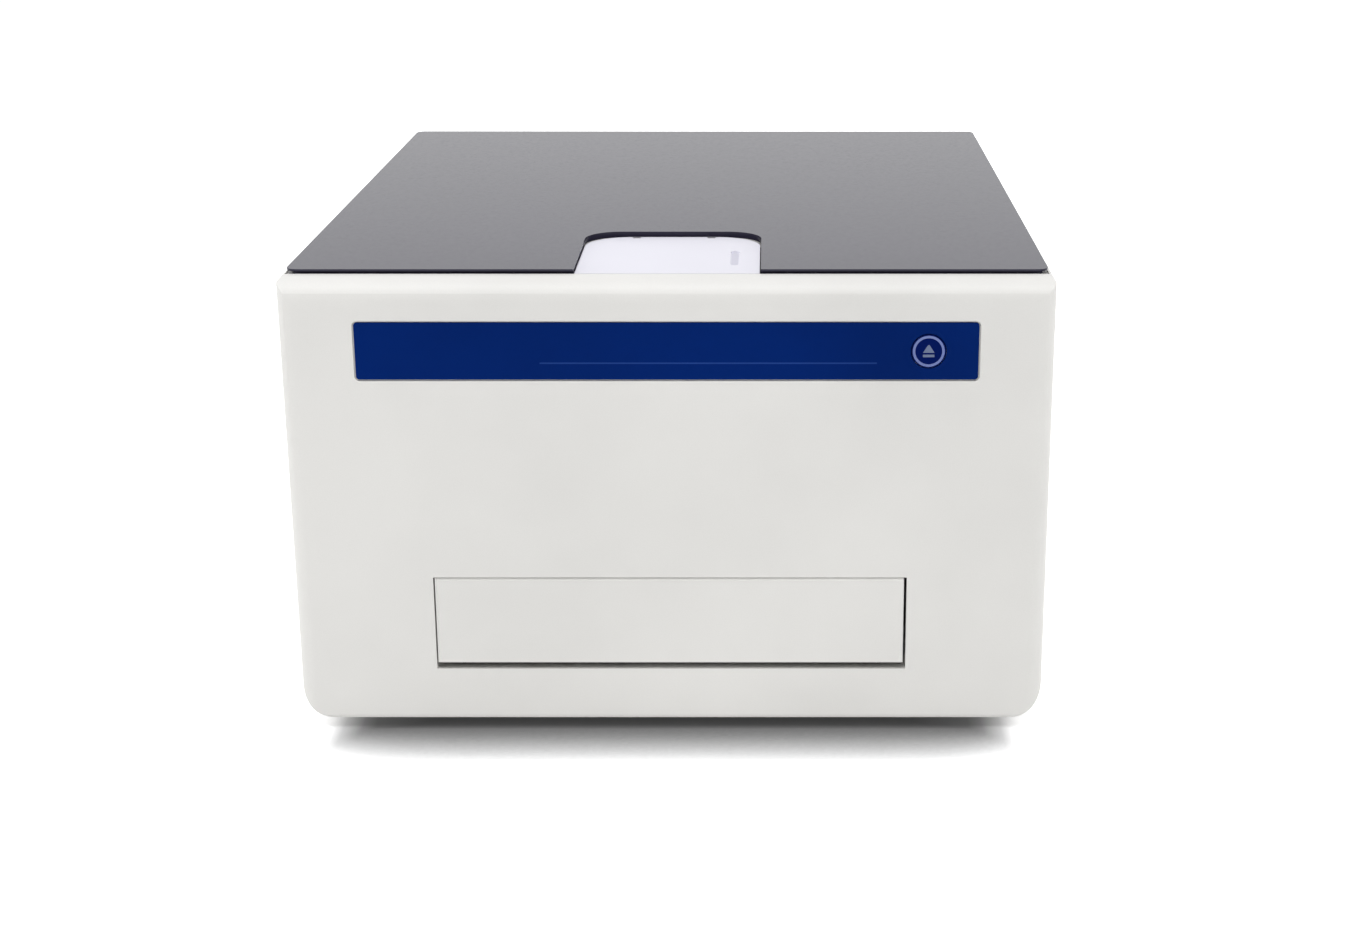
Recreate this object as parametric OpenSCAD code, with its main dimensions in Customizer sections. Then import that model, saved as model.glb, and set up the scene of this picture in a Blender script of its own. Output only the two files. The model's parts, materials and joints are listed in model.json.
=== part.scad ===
// Bench-top microplate absorbance reader.
// Millimetres. The origin is on the bench under the middle of the case, +Z is up and the front faces -Y.
// A drawer with a racked tray brings the plate carriage out. Inside, the carriage steps sideways on two
// rods, so that each column of wells passes between the read head and the detector block.
// A lid in the top opens on a cuvette port.

/* [Case] */
// Width across the side walls
case_w = 348; // [344:1:380]
// Depth from the front face to the back edge
case_d = 400; // [396:1:440]
// Height of the case without its feet
case_h = 213.5; // [212:0.5:240]
// Thickness of the moulded walls
wall = 3; // [2.5:0.25:3.5]
// Radius of the long top edges
top_r = 4; // [3.5:0.5:6]
// Radius of the long bottom edges
bottom_r = 18; // [14:1:22]
// Radius of the upright corners
side_r = 8; // [5:1:10]
// Radius of the front face's top edge
brow_r = 12; // [9:1:13]
// Radius of the front face's bottom edge
chin_r = 2.5; // [2:0.5:5]
// Depth of the front bezel
bezel_d = 18; // [17:1:20]
// Shadow gap where two shells meet
seam = 0.4; // [0.3:0.1:0.8]

/* [Base] */
// Height of the case above the bench
foot_h = 5; // [4:0.5:8]
// Diameter of a foot at the bench
foot_d = 24; // [20:1:28]
// Distance of the feet from the front and back faces
foot_inset = 48; // [46:1:60]
// Thickness of the sheet base pan
pan_t = 1.5; // [1:0.25:2]

/* [Top panel] */
// Thickness of the top panel
panel_t = 3; // [2.5:0.25:4]
// Height of the top panel above the shell around it
panel_proud = 2; // [1:0.25:2.25]
// Width of the shell left bare beside the top panel
panel_margin = 3; // [2:0.5:5]
// Width of the notch in the panel's front edge
notch_w = 84; // [70:1:100]
// Depth of the notch
notch_d = 82; // [76:1:90]
// Radius of the notch's inner corners
notch_r = 16; // [10:1:17]
// Radius of the lid's inner corners
lid_r = 21; // [21:1:24]

/* [Front strip] */
// Distance of the printed strip's ends from the side faces
strip_margin = 34.6; // [30:0.2:40]
// Height of the printed strip
strip_h = 26.3; // [22:0.1:30]
// Distance of the strip's middle below the top
strip_drop = 34.7; // [32:0.1:40]
// Thickness of the strip
strip_t = 0.8; // [0.5:0.1:1]
// Depth of the recess that holds the strip
strip_recess = 1.2; // [1:0.1:1.4]
// Distance of the button's middle from the strip's right end
button_inset = 22.4; // [18:0.2:30]
// Diameter of the button
button_d = 15.2; // [12:0.1:18]
// How far the button travels
button_travel = 1; // [0.6:0.1:1.2]

/* [Drawer] */
// Width of the drawer opening
door_w = 218.5; // [214:0.5:222]
// Height of the drawer opening
door_h = 45.5; // [45:0.5:49]
// Height of the opening above the underside of the case
door_z = 25.5; // [25:0.5:29]
// Gap beside the drawer front
door_side_gap = 1.5; // [1:0.25:2]
// Gap above the drawer front
door_top_gap = 1.2; // [0.8:0.1:2]
// Gap below the drawer front
door_bottom_gap = 3.2; // [1:0.1:3.6]
// Thickness of the drawer front
door_t = 3.5; // [3:0.25:4]
// How far the drawer opens
drawer_travel = 135; // [130:1:140]
// Length of the tray behind the drawer front
tray_l = 236; // [230:1:245]
// Thickness of the tray
tray_t = 2; // [1.5:0.25:2.5]
// Module of the rack and its pinion
tooth_module = 1; // [0.9:0.05:1.1]
// Teeth on the pinion
pinion_teeth = 18; // [17:1:20]

/* [Plate carriage] */
// Length of a microplate's foot
plate_l = 127.76; // [127.76:0.01:128.2]
// Width of a microplate's foot
plate_w = 85.48; // [85.48:0.01:86]
// Clearance round the plate in its nest
plate_gap = 0.4; // [0.3:0.05:0.6]
// Depth of the nest
nest_depth = 5; // [4:0.25:6]
// Pitch of the wells
well_pitch = 9; // [8.8:0.1:9.2]
// Wells in a column
channels = 8; // [6:1:8]
// Columns of wells
columns = 12; // [10:1:12]
// Diameter of the carriage rods
rod_d = 6; // [5:0.5:7]

/* [Optics] */
// Height of the optics deck above the underside of the case
deck_rise = 95; // [94:0.5:98]
// Thickness of the optics deck
deck_t = 4; // [3:0.5:5]
// Height of the monochromator housing
mono_h = 54; // [50:1:58]
// Diameter of the order filter wheel
wheel_d = 50; // [46:1:52]
// Filters on the wheel
filters = 6; // [4:1:8]
// Width of the cuvette socket
socket_w = 12.8; // [12.7:0.05:13.2]

/* [Rear] */
// Distance of the rear connector panel from the side faces
rear_margin = 34; // [30:1:38]
// Height of the rear connector panel
rear_h = 160; // [156:1:164]
// Width of the cooling fan
fan_w = 60; // [50:1:64]
// Blades on the fan
fan_blades = 7; // [5:1:9]

/* [Hidden] */
$fn = 64;
over = 1;            // how far a cutting body runs past a face
slide_gap = 0.3;     // running gap between sliding parts
pin_gap = 0.05;      // radial gap between a pin and its bore
fit_gap = 0.2;       // gap round a piece that drops into a recess

// Levels and faces of the case
front = -case_d / 2;
back = case_d / 2;
base_z = foot_h;
roof_z = foot_h + case_h;
crown_z = roof_z - panel_proud;
seat_z = roof_z - panel_t;
reveal_z = crown_z + 0.55 * panel_proud;
reveal_d = 2;       // depth of the shadow gap under the panel's edge
inner_r = 0.5;      // least radius inside a corner
shell_h = case_h - panel_proud;
shell_front = front + bezel_d + seam;
pan_z = base_z + wall;
floor_z = pan_z + pan_t;

// Base pan
pan_lip = 8;
pan_hw = case_w / 2 - bottom_r - 1;
pan_y0 = shell_front + 4;
pan_y1 = back - wall - 4;
pan_flange = 6;
foot_top_d = foot_d + 3;
foot_bore = 4.4;
foot_sink_d = 11;
foot_sink = 4;
foot_x = pan_hw - pan_lip - foot_top_d / 2 - 0.3;
foot_y = [front + foot_inset, back - foot_inset];

// Screws: shank diameter, head diameter and head height
m4 = [4, 8, 2.4];
m3 = [3, 5.6, 1.6];
m2 = [2.3, 4.4, 1.2];
m4_nut = [8.1, 3.2];
m3_sink = 0.2;
thread_gap = 0.05;
tip = 1;             // how far a screw stands out of the sheet it holds
pan_screw_y = [for (k = [0:3]) pan_y0 + 12 + k * (pan_y1 - pan_y0 - 24) / 3];

// Top panel
panel_hw = case_w / 2 - panel_margin;
panel_y0 = front + brow_r + 0.5;
panel_y1 = back - panel_margin;
notch_y = panel_y0 + notch_d;

// Front strip and button
strip_w = case_w - 2 * strip_margin;
strip_mid = roof_z - strip_drop;
button_x = strip_w / 2 - button_inset;
strip_r = 1.6;
strip_rim = 0.7;
strip_face = front + strip_recess - strip_t;
button_hole = button_d + 0.8;
button_flange = [button_d + 4, 1.2];
button_l = 9;

// Drawer front and tray
open_z0 = base_z + door_z;
open_z1 = open_z0 + door_h;
door_z0 = open_z0 + door_bottom_gap;
door_z1 = open_z1 - door_top_gap;
door_hw = door_w / 2 - door_side_gap;
tray_z = open_z0 + 7.5;
tray_top = tray_z + tray_t;
tray_hw = door_w / 2 - 11.25;
tray_y0 = front + door_t;
tray_y1 = tray_y0 + tray_l;
tray_flange = 6;

// Slides: the inner rail is a bar on the tray's flange, and the outer rail is a channel round it
rail_w = 9.5;
rail_h = 6;
rail_wall = 1.8;
rail_z = tray_z - 1;
rail_groove_r = 1.2;
inner_y0 = tray_y0 + 2;
inner_y1 = tray_y1;
outer_y0 = pan_y0 + pan_t + 1;
outer_y1 = tray_y1 + 24;
outer_x = tray_hw + rail_w + slide_gap + rail_wall;
bracket_t = 2;
rail_windows = 4;

// Plate carriage
nest_hx = plate_l / 2 + plate_gap;
nest_hy = plate_w / 2 + plate_gap;
nest_rim = 7;
frame_hx = nest_hx + nest_rim;
frame_hy = nest_hy + nest_rim;
ledge = 5;
lug_r = rod_d / 2 + 3;
rod_off = frame_hy + 8;
carriage_y = tray_y0 + 4.5 + lug_r + rod_off;
carriage_z0 = tray_top + 3;
rod_z = carriage_z0 + 4;
nest_z = carriage_z0 + 7;
carriage_z1 = nest_z + nest_depth;
lug_l = 12;
bush_wall = 1.5;
scan = (columns - 1) * well_pitch / 2;
block_l = 7;
block_x0 = tray_hw - 1 - block_l;
lug_x = block_x0 - 2.5 - lug_l / 2 - scan;
block_hy = 7;

// Belt that moves the carriage: a 2 mm pitch belt on 20-tooth pulleys
motor_w = 28;
motor_l = 30;
shaft_r = 2.5;
belt_w = 6;
pulley_r = 20 * 2 / (2 * PI);
belt_in = pulley_r - 0.27;
belt_out = pulley_r + 0.93;
pulley_core = belt_in - slide_gap;
pulley_flange = belt_out + 0.9;
pulley_x = block_x0 - 10;
belt_y = carriage_y + rod_off + lug_r + 8;
belt_z = tray_top + 2.5 + motor_w / 2;
belt_plate_y = belt_y + belt_w / 2 + 2;
idler_r = 2;
clamp_hx = 8;

// Lever that pushes the plate into its corner
lever_pivot_y = carriage_y + 12;
lever_l = 26;
lever_t = 3;
lever_x = frame_hx - 2.3;
lever_r = 2.1;
lever_z0 = nest_z + 1;
lever_pin_r = 1;

// Rack, pinion and drawer motor
pinion_r = tooth_module * pinion_teeth / 2;
rack_w = 6;
rack_x = tray_hw - 16;
rack_pitch_z = tray_z - 2.15 - 1.25 * tooth_module;
pinion_z = rack_pitch_z - pinion_r;
pinion_y = front + 40;
pinion_w = 7;
pressure_angle = 20;
backlash = 0.2;
gear_motor_r = 11;
gear_motor_l = 46;
motor_plate_x = rack_x - pinion_w / 2 - 3.5;

// Optics
deck_z = base_z + deck_rise;
deck_top = deck_z + deck_t;
deck_hx = case_w / 2 - wall - 12;
deck_y0 = shell_front + 10;
deck_y1 = tray_y1 + 70;
pillar_d = 12;
pillar_x = pan_hw - 13;
pillar_y = [deck_y0 + 12, tray_y1 + 8];
head_hx = 12;
head_hy = (channels - 1) * well_pitch / 2 + 11;
head_z0 = open_z1 + 3;
lens_d = 6;
light_r = 2;
ferrule_r = 1.6;
detector_z1 = tray_z - 1.8;
detector_z0 = floor_z + 7;
channel_y = [for (k = [0:channels - 1]) carriage_y + (k - (channels - 1) / 2) * well_pitch];

// Monochromator
lamp_l = 53.5;
lamp_x0 = pillar_x - m4[1] / 2 - 1.5 - lamp_l;
can_r = 11;
can_l = 18;
wheel_t = 3;
wheel_x = lamp_x0 - 10 - can_l - wheel_t;
mono_x0 = -pillar_x + 44;
mono_x1 = wheel_x - 8;
mono_y0 = belt_y + 12;
mono_y1 = mono_y0 + 128;
mono_wall = 4;
mono_z1 = deck_top + mono_h;
cover_t = 2;
beam_z = deck_top + 28;
beam_y = mono_y1 - 28;
grating_x = (mono_x0 + mono_x1) / 2;
grating_y = mono_y0 + 42;
grating_w = 26;
exit_x = 0;

// Filter wheel and flash lamp
wheel_pitch = wheel_d / 2 - 8;
wheel_y = beam_y - wheel_pitch;
lamp_hy = 24;
lamp_bore = 16;
fins = 8;

// Cuvette port
lid_gap = 0.5;
// finger groove in the lid: its width, length and depth, and its distance from the lid's side and front
groove = [4, 30, 0.8];
groove_inset = 11.5;
groove_back = 32;
lid_rear_gap = 3;
lid_t = 2.5;
lid_hw = notch_w / 2 - lid_gap;
lid_y0 = panel_y0 + 0.3;
lid_y1 = notch_y - lid_rear_gap;
hinge_y = lid_y1 - 1.5;
hinge_z = crown_z - 1.9;
hinge_pin_r = 0.9;
knuckle_r = 1.85;
knuckle_x = [8, 16];
ear_t = 3.4;
ear_r = 1.85;
well_top = crown_z - wall;
port_z = well_top - 1;
well_plate = 8.5;
well_hx = notch_w / 2 + 6;
well_y0 = panel_y0;
well_y1 = notch_y + 7;
cup_hx = lid_hw - 7;
cup_y0 = well_y0 + 6;
cup_y1 = hinge_y - 11;
cup_floor = port_z - 14;
cup_wall = 3;
socket_y = (cup_y0 + cup_y1) / 2;
socket_depth = 38;
cube_hw = 20;
cube_z1 = cup_floor - cup_wall;
cube_z0 = cup_floor - socket_depth - 8;
path_z = cup_floor - socket_depth + 8.5;

// Rear panel and what it carries
rear_t = 1.5;
rear_w = case_w - 2 * rear_margin;
rear_rim = 8;
rear_z0 = floor_z + 1;
rear_y = back - wall;
fan_t = 15;
fan_x = rear_w / 2 - fan_w / 2 - 18;
fan_z = rear_z0 + rear_h - rear_rim - fan_w / 2 - 4;
inlet = [28, 20.4, 24];
inlet_x = -rear_w / 2 + 32;
socket_z = rear_z0 + 62;
rocker = [19.4, 13, 14];
rocker_x = inlet_x + 38;
rocker_axis_y = rear_y - 1.2;
rocker_tilt = 8;
rocker_v = 1.4;
rocker_pin_r = 1;
rocker_pin_l = 1;
switch_hx = rocker[0] / 2 + 1.3;
switch_hz = rocker[1] / 2 + 1.6;
switch_d = 16;
usb_size = [12.2, 16, 11];
usb_side = 1.5;
usb_floor = 2;
usb_roof = 1.8;
usb_socket_d = 10;

// Boards
board_t = 1.6;
supply_w = 98;
supply_x = [-pan_hw + 11, -pan_hw + 11 + supply_w];
supply_y = [tray_y1 + 24, back - 16];
supply_h = 42;
supply_foot = 4;
board_x = [supply_x[1] + 16, pan_hw - 11];
board_y = [tray_y1 + 26, back - 9];
board_z = floor_z + 10;
board_top = board_z + board_t;
usb_x = [board_x[1] - 100, board_x[1] - 78];
post_r = 3;

// Cable routes, as points that follow the pieces they join
fibre_y0 = mono_y0 - 8.3;
fibre_y1 = carriage_y + 11.9;
fibre_steps = [[0, 0], [0.16, 0], [0.34, 2], [0.53, 3], [0.72, 1], [0.875, -3], [1, -11]];
fibre_route = [for (p = fibre_steps) [exit_x, fibre_y0 + p[0] * (fibre_y1 - fibre_y0), beam_z + 4 + p[1]]];
plug_gap = 0.1;
mains_y = rear_y - inlet[2] - 7 - plug_gap;
mains_steps = [[0, 0], [-4.9, 0], [-9.4, -2.5], [-10.9, -7.5]];
mains_route = concat(
  [for (p = mains_steps) [inlet_x, mains_y + p[0], socket_z + p[1]]],
  [[inlet_x, mains_y - 10.9, floor_z + supply_foot + supply_h + plug_gap]]);
power_steps = [[6, 8.9], [14, 10.4], [23, 10.4], [29, 7.9], [30, 3.9], [30, plug_gap]];
power_y = board_y[0] + 44.5;
power_route = concat(
  [[supply_x[1] + plug_gap, power_y, board_top + 8.9]],
  [for (p = power_steps) [supply_x[1] + p[0], power_y, board_top + p[1]]]);
button_lead_y = front + wall - 0.5 + button_l + board_t + 5 + plug_gap;
side_x = case_w / 2 - wall - 6;
side_steps = [[37, 0, 0], [37, 0, 0.035], [32, 2, 0.072], [20, 6, 0.128], [9, 16, 0.251], [2, 36, 0.386],
              [0, 64, 0.534], [0, 100, 0.706], [0, 150, 0.866], [1, 200, 0.958], [4, 242, 0.995],
                [15, 268, 1]];
turn_steps = [[19, 14.8], [6, 10.8], [0, 6.3], [0, 0]];
button_route = concat(
  [for (p = side_steps) [side_x - p[0], power_y - p[1] * (power_y - button_lead_y) / 291.8,
                         board_top + plug_gap + p[2] * (strip_mid - board_top - plug_gap)]],
  [for (p = turn_steps) [button_x + p[0], button_lead_y + p[1], strip_mid]]);
cable_r = 2.2;

// ---------------------------------------------------------------- shapes that repeat

// A box between two corners
module block(lo, hi) {
  translate(lo) cube([for (k = [0:2]) hi[k] - lo[k]]);
}

// A rectangle with round corners, centred
module round_rect(w, h, r) {
  square([w - 2 * r, h], center = true);
  square([w, h - 2 * r], center = true);
  for (x = [-1, 1], y = [-1, 1]) translate([x * (w / 2 - r), y * (h / 2 - r)]) circle(r);
}

// A slot with round ends, w long and h wide, centred
module slot(w, h) {
  square([w - h, h], center = true);
  for (s = [-1, 1]) translate([s * (w - h) / 2, 0]) circle(h / 2);
}

// Extrudes an outline drawn in X and Z from y0 to y1
module along_y(y0, y1) {
  translate([0, y1, 0]) rotate([90, 0, 0]) linear_extrude(y1 - y0) children();
}

// Extrudes an outline drawn in Y and Z from x0 to x1
module along_x(x0, x1) {
  translate([x0, 0, 0]) rotate([90, 0, 90]) linear_extrude(x1 - x0) children();
}

// A round bar along X, Y or Z from a start point
module bar_x(at, l, r) {
  translate(at) rotate([0, 90, 0]) cylinder(r = r, h = l);
}
module bar_y(at, l, r) {
  translate(at) rotate([-90, 0, 0]) cylinder(r = r, h = l);
}
module bar_z(at, l, r) {
  translate(at) cylinder(r = r, h = l);
}

// A socket-head screw at the origin: the head stands up from z = 0 and the shank runs down
module screw(size, l) {
  difference() {
    union() {
      cylinder(d = size[1], h = size[2]);
      translate([0, 0, -l]) cylinder(d = size[0], h = l + size[2] / 2);
    }
    translate([0, 0, size[2] * 0.4]) cylinder(d = size[0] * 0.7, h = size[2], $fn = 6);
  }
}

// The case seen from the front, drawn in X and Z and inset by i
module case_front(i) {
  hw = case_w / 2 - i;
  rt = top_r - min(i, top_r - 1);
  rb = bottom_r - i;
  z1 = shell_h - i;
  translate([0, base_z]) {
    translate([-hw + rb, i]) square([2 * (hw - rb), z1 / 2]);
    translate([-hw, i + rb]) square([2 * hw, z1 - rt - i - rb]);
    translate([-hw + rt, z1 / 2]) square([2 * (hw - rt), z1 / 2]);
    for (s = [-1, 1]) {
      translate([s * (hw - rb), i + rb]) circle(rb);
      translate([s * (hw - rt), z1 - rt]) circle(rt);
    }
  }
}

// The case seen from the side, drawn in Y and Z and inset by i
module case_side(i) {
  rb = brow_r - i;
  rc = max(chin_r - i, inner_r);
  y0 = front + i;
  z0 = base_z + i;
  z1 = crown_z - i;
  translate([y0, z0 + rc]) square([case_d - 2 * i, z1 - z0 - rb - rc]);
  translate([y0 + rc, z0]) square([case_d - 2 * i - rc, rc + 1]);
  translate([y0 + rb, z1 - rb - 1]) square([case_d - 2 * i - rb, rb + 1]);
  translate([y0 + rc, z0 + rc]) circle(rc);
  translate([y0 + rb, z1 - rb]) circle(rb);
}

// The case seen from above, drawn in X and Y and inset by i
module case_plan(i) {
  round_rect(case_w - 2 * i, case_d - 2 * i, side_r - i);
}

// The body of the case inset by i, from y0 to y1
module case_body(i, y0, y1) {
  intersection() {
    along_y(y0, y1) case_front(i);
    along_x(-case_w, case_w) case_side(i);
    linear_extrude(roof_z + over) case_plan(i);
  }
}

// Places its children at each of the four feet
module at_feet() {
  for (x = [-foot_x, foot_x], y = foot_y) translate([x, y, 0]) children();
}

// Places its children with Z pointing out of the back, at each rear panel screw
module at_rear_screws() {
  for (x = [-1, 0, 1], z = [rear_z0 + rear_rim / 2, rear_z0 + rear_h - rear_rim / 2])
    translate([x * (rear_w / 2 - 12), back, z]) rotate([-90, 0, 0]) children();
}

// Places its children with Z pointing down, at each base pan screw
module at_pan_screws() {
  for (x = [-1, 1], y = pan_screw_y) translate([x * (pan_hw - pan_lip / 2), y, base_z])
    mirror([0, 0, 1]) children();
}

// Places its children on the floor at each screw that holds the rail brackets and the motor plate
module at_bracket_screws() {
  for (s = [-1, 1], k = [0:rail_windows]) translate([s * (outer_x - 6), bracket_screw_y(k), floor_z])
    children();
  for (y = [-7, 7]) translate([motor_plate_x - 9, pinion_y + y, floor_z]) children();
}
function bracket_screw_y(k) = outer_y0 + 6 + k * (outer_y1 - outer_y0 - 12) / rail_windows;

// Places its children under the monochromator's cover at each of its screws
module at_cover_screws() {
  for (x = [mono_x0 + 8, mono_x1 - 8], y = [mono_y0 + 8, mono_y1 - 8])
    translate([x, y, mono_z1 - cover_t]) children();
}

// Places its children behind the button board, with Z pointing to the back, at each of its screws
module at_board_screws() {
  for (x = [-14, 14]) translate([button_x + x, front + wall - 0.5 + button_l + board_t, strip_mid])
    rotate([-90, 0, 0]) children();
}

// Outline of the notch, and of the lid that fills it: hw is half the width
module notch_plan(hw, y0, y1, r) {
  translate([-hw, y0]) square([2 * hw, y1 - y0 - r]);
  translate([-hw + r, y0]) square([2 * (hw - r), y1 - y0]);
  for (s = [-1, 1]) translate([s * (hw - r), y1 - r]) circle(r);
}

// Tooth outline of an involute gear, as points about its centre
function involute(a) = tan(a) * 180 / PI - a;
function gear_points(m, z, steps = 5) =
  let (rp = m * z / 2,
       rb = rp * cos(pressure_angle),
       ra = rp + m,
       rf = rp - 1.25 * m,
       half = 90 / z - backlash / 4 / rp * 180 / PI + involute(pressure_angle),
       end = acos(rb / ra))
  [for (t = [0:z - 1]) let (c = t * 360 / z) each concat(
    [polar(rf, c - 180 / z), polar(rf, c - half)],
    [for (k = [0:steps]) let (a = k / steps * end) polar(rb / cos(a), c - half + involute(a))],
    [for (k = [steps:-1:0]) let (a = k / steps * end) polar(rb / cos(a), c + half - involute(a))],
    [polar(rf, c + half)])];
function polar(r, a) = [r * cos(a), r * sin(a)];

// Tooth outline of a rack along +X with its teeth pointing to -Y, pitch line at y = 0
function rack_points(m, n, body) =
  let (p = PI * m,
       lean = tan(pressure_angle),
       tip = p / 4 - backlash / 4 - m * lean,
       root = p / 4 - backlash / 4 + 1.25 * m * lean)
  concat([[0, 1.25 * m + body]],
    [for (t = [0:n - 1]) let (c = (t + 0.5) * p) each [
      [c - root, 1.25 * m], [c - tip, -m], [c + tip, -m], [c + root, 1.25 * m]]],
    [[n * p, 1.25 * m + body]]);

// A tube swept along a route of points, as one closed skin: its ring is carried along without twist
function unit(v) = v / norm(v);
function heading(p, k) = unit(p[min(k + 1, len(p) - 1)] - p[max(k - 1, 0)]);
function carried(p, k, u) =
  k == len(p) ? [] :
  let (d = heading(p, k),
       v = unit(u - (u * d) * d))
  concat([[v, cross(d, v)]], carried(p, k + 1, v));
module tube(p, r, sides = 8) {
  n = len(p);
  across = carried(p, 0, abs(heading(p, 0).x) < 0.9 ? [1, 0, 0] : [0, 1, 0]);
  polyhedron(
    points = [for (k = [0:n - 1], s = [0:sides - 1])
      let (a = 360 * s / sides) p[k] + r * (cos(a) * across[k][0] + sin(a) * across[k][1])],
    faces = concat(
      [[for (s = [0:sides - 1]) s]],
      [[for (s = [sides - 1:-1:0]) (n - 1) * sides + s]],
      [for (k = [0:n - 2], s = [0:sides - 1]) let (a = k * sides + s, b = k * sides + (s + 1) % sides)
        each [[a, b + sides, b], [a, a + sides, b + sides]]]));
}

// ---------------------------------------------------------------- case

module front_bezel() color("#e6e6e2") {
  collar = 2;
  collar_d = bezel_d - 4;
  tongue_x = case_w / 2 - wall;
  tongue_t = 2.2;
  tongue_z = [base_z + 40, roof_z - 30];
  boss_x = 14;
  seat_gap = 0.25;
  difference() {
    union() {
      difference() {
        case_body(0, front, front + bezel_d);
        case_body(wall, front, back);
      }
      // collar that stiffens the drawer opening
      block([-door_w / 2 - collar, front + wall - 0.5, open_z0 - collar],
            [door_w / 2 + collar, front + collar_d, open_z1 + collar]);
      // tongues that locate the bezel inside the shell
      for (s = [-1, 1]) scale([s, 1, 1]) {
        block([tongue_x - tongue_t, front + bezel_d - 5, tongue_z[0]],
              [tongue_x + 0.1, front + bezel_d - 0.01, tongue_z[1]]);
        block([tongue_x - tongue_t, front + bezel_d - 5, tongue_z[0]],
              [tongue_x - fit_gap, front + bezel_d + 6, tongue_z[1]]);
      }
      // bosses for the button board
      for (x = [-boss_x, boss_x]) bar_y([button_x + x, front + wall - 0.5, strip_mid], button_l, post_r);
    }
    block([-door_w / 2, front - over, open_z0], [door_w / 2, front + bezel_d, open_z1]);
    along_y(front - over, front + strip_recess) translate([0, strip_mid])
      round_rect(strip_w + 2 * strip_rim, strip_h + 2 * strip_rim, strip_r + strip_rim);
    bar_y([button_x, front - over, strip_mid], wall + 2 * over, button_hole / 2);
    for (x = [-boss_x, boss_x]) bar_y([button_x + x, front + wall, strip_mid], button_l, 1.2);
    // seats for the top panel and for the front edge of the lid
    block([-panel_hw - seat_gap, panel_y0 - seat_gap, seat_z],
          [panel_hw + seat_gap, front + bezel_d + over, roof_z]);
    block([-notch_w / 2, lid_y0 - 0.3, crown_z - lid_t - 0.5],
          [notch_w / 2, front + bezel_d + over, roof_z]);
  }
}

module housing_shell() color("#e6e6e2") {
  difference() {
    case_body(0, shell_front, back);
    case_body(wall, front, back);
    // opening for the base pan
    block([-pan_hw + pan_lip, pan_y0 + pan_lip, base_z - over],
          [pan_hw - pan_lip, pan_y1 - pan_lip, base_z + wall + over]);
    // seat for the top panel
    block([-panel_hw - 0.25, panel_y0 - 0.25, seat_z], [panel_hw + 0.25, panel_y1 + 0.25, roof_z]);
    // cuvette port
    translate([0, 0, well_top - over]) linear_extrude(wall + 2 * over)
      notch_plan(notch_w / 2, front, notch_y, notch_r);
    // opening for the rear panel
    translate([0, 0, rear_z0 + rear_h / 2]) along_y(back - wall - over, back + over)
      round_rect(rear_w - 2 * rear_rim, rear_h - 2 * rear_rim, 3);
    at_rear_screws() {
      translate([0, 0, -wall - over]) cylinder(d = m3[0] + 0.4, h = wall + 2 * over);
      translate([0, 0, -m3[2] - m3_sink]) cylinder(d = m3[1] + 0.6, h = wall);
    }
    at_pan_screws() {
      translate([0, 0, -wall - over]) cylinder(d = m3[0] + 0.4, h = wall + 2 * over);
      translate([0, 0, -m3[2] - m3_sink]) cylinder(d = m3[1] + 0.6, h = wall);
    }
  }
}

module top_panel() color("#8f8d97") {
  // a lip stands out round the edge, over a shadow gap
  for (step = [[0, seat_z, reveal_z], [reveal_d, reveal_z, roof_z]])
    translate([0, 0, step[1]]) linear_extrude(step[2] - step[1]) difference() {
      inset = reveal_d - step[0];
      translate([0, (panel_y0 + panel_y1) / 2])
        round_rect(2 * (panel_hw - inset), panel_y1 - panel_y0 - 2 * inset, side_r - panel_margin);
      notch_plan(notch_w / 2, panel_y0 - over, notch_y, notch_r);
    }
}

module base_pan() color("#b9bcc0") {
  slots = 9;
  difference() {
    union() {
      block([-pan_hw, pan_y0, pan_z], [pan_hw, pan_y1, floor_z]);
      for (s = [-1, 1]) scale([s, 1, 1])
        block([pan_hw - pan_t, pan_y0, pan_z], [pan_hw, pan_y1, floor_z + pan_flange]);
      block([-pan_hw, pan_y0, pan_z], [pan_hw, pan_y0 + pan_t, floor_z + pan_flange]);
      block([-pan_hw, pan_y1 - pan_t, pan_z], [pan_hw, pan_y1, floor_z + pan_flange]);
    }
    at_feet() translate([0, 0, pan_z - over]) cylinder(d = foot_bore, h = pan_t + 2 * over);
    at_pan_screws() translate([0, 0, -wall - pan_t - over])
      cylinder(d = m3[0] + 2 * thread_gap, h = pan_t + 2 * over);
    at_bracket_screws() translate([0, 0, -pan_t - over])
      cylinder(d = m3[0] + 2 * thread_gap, h = pan_t + 2 * over);
    // air slots under the power supply and the main board
    for (x = [supply_x[0] + supply_w / 2, (board_x[0] + board_x[1]) / 2], k = [0:slots - 1])
      translate([x, back - 110 + k * 8, pan_z - over]) linear_extrude(pan_t + 2 * over) slot(56, 3);
  }
}

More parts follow.
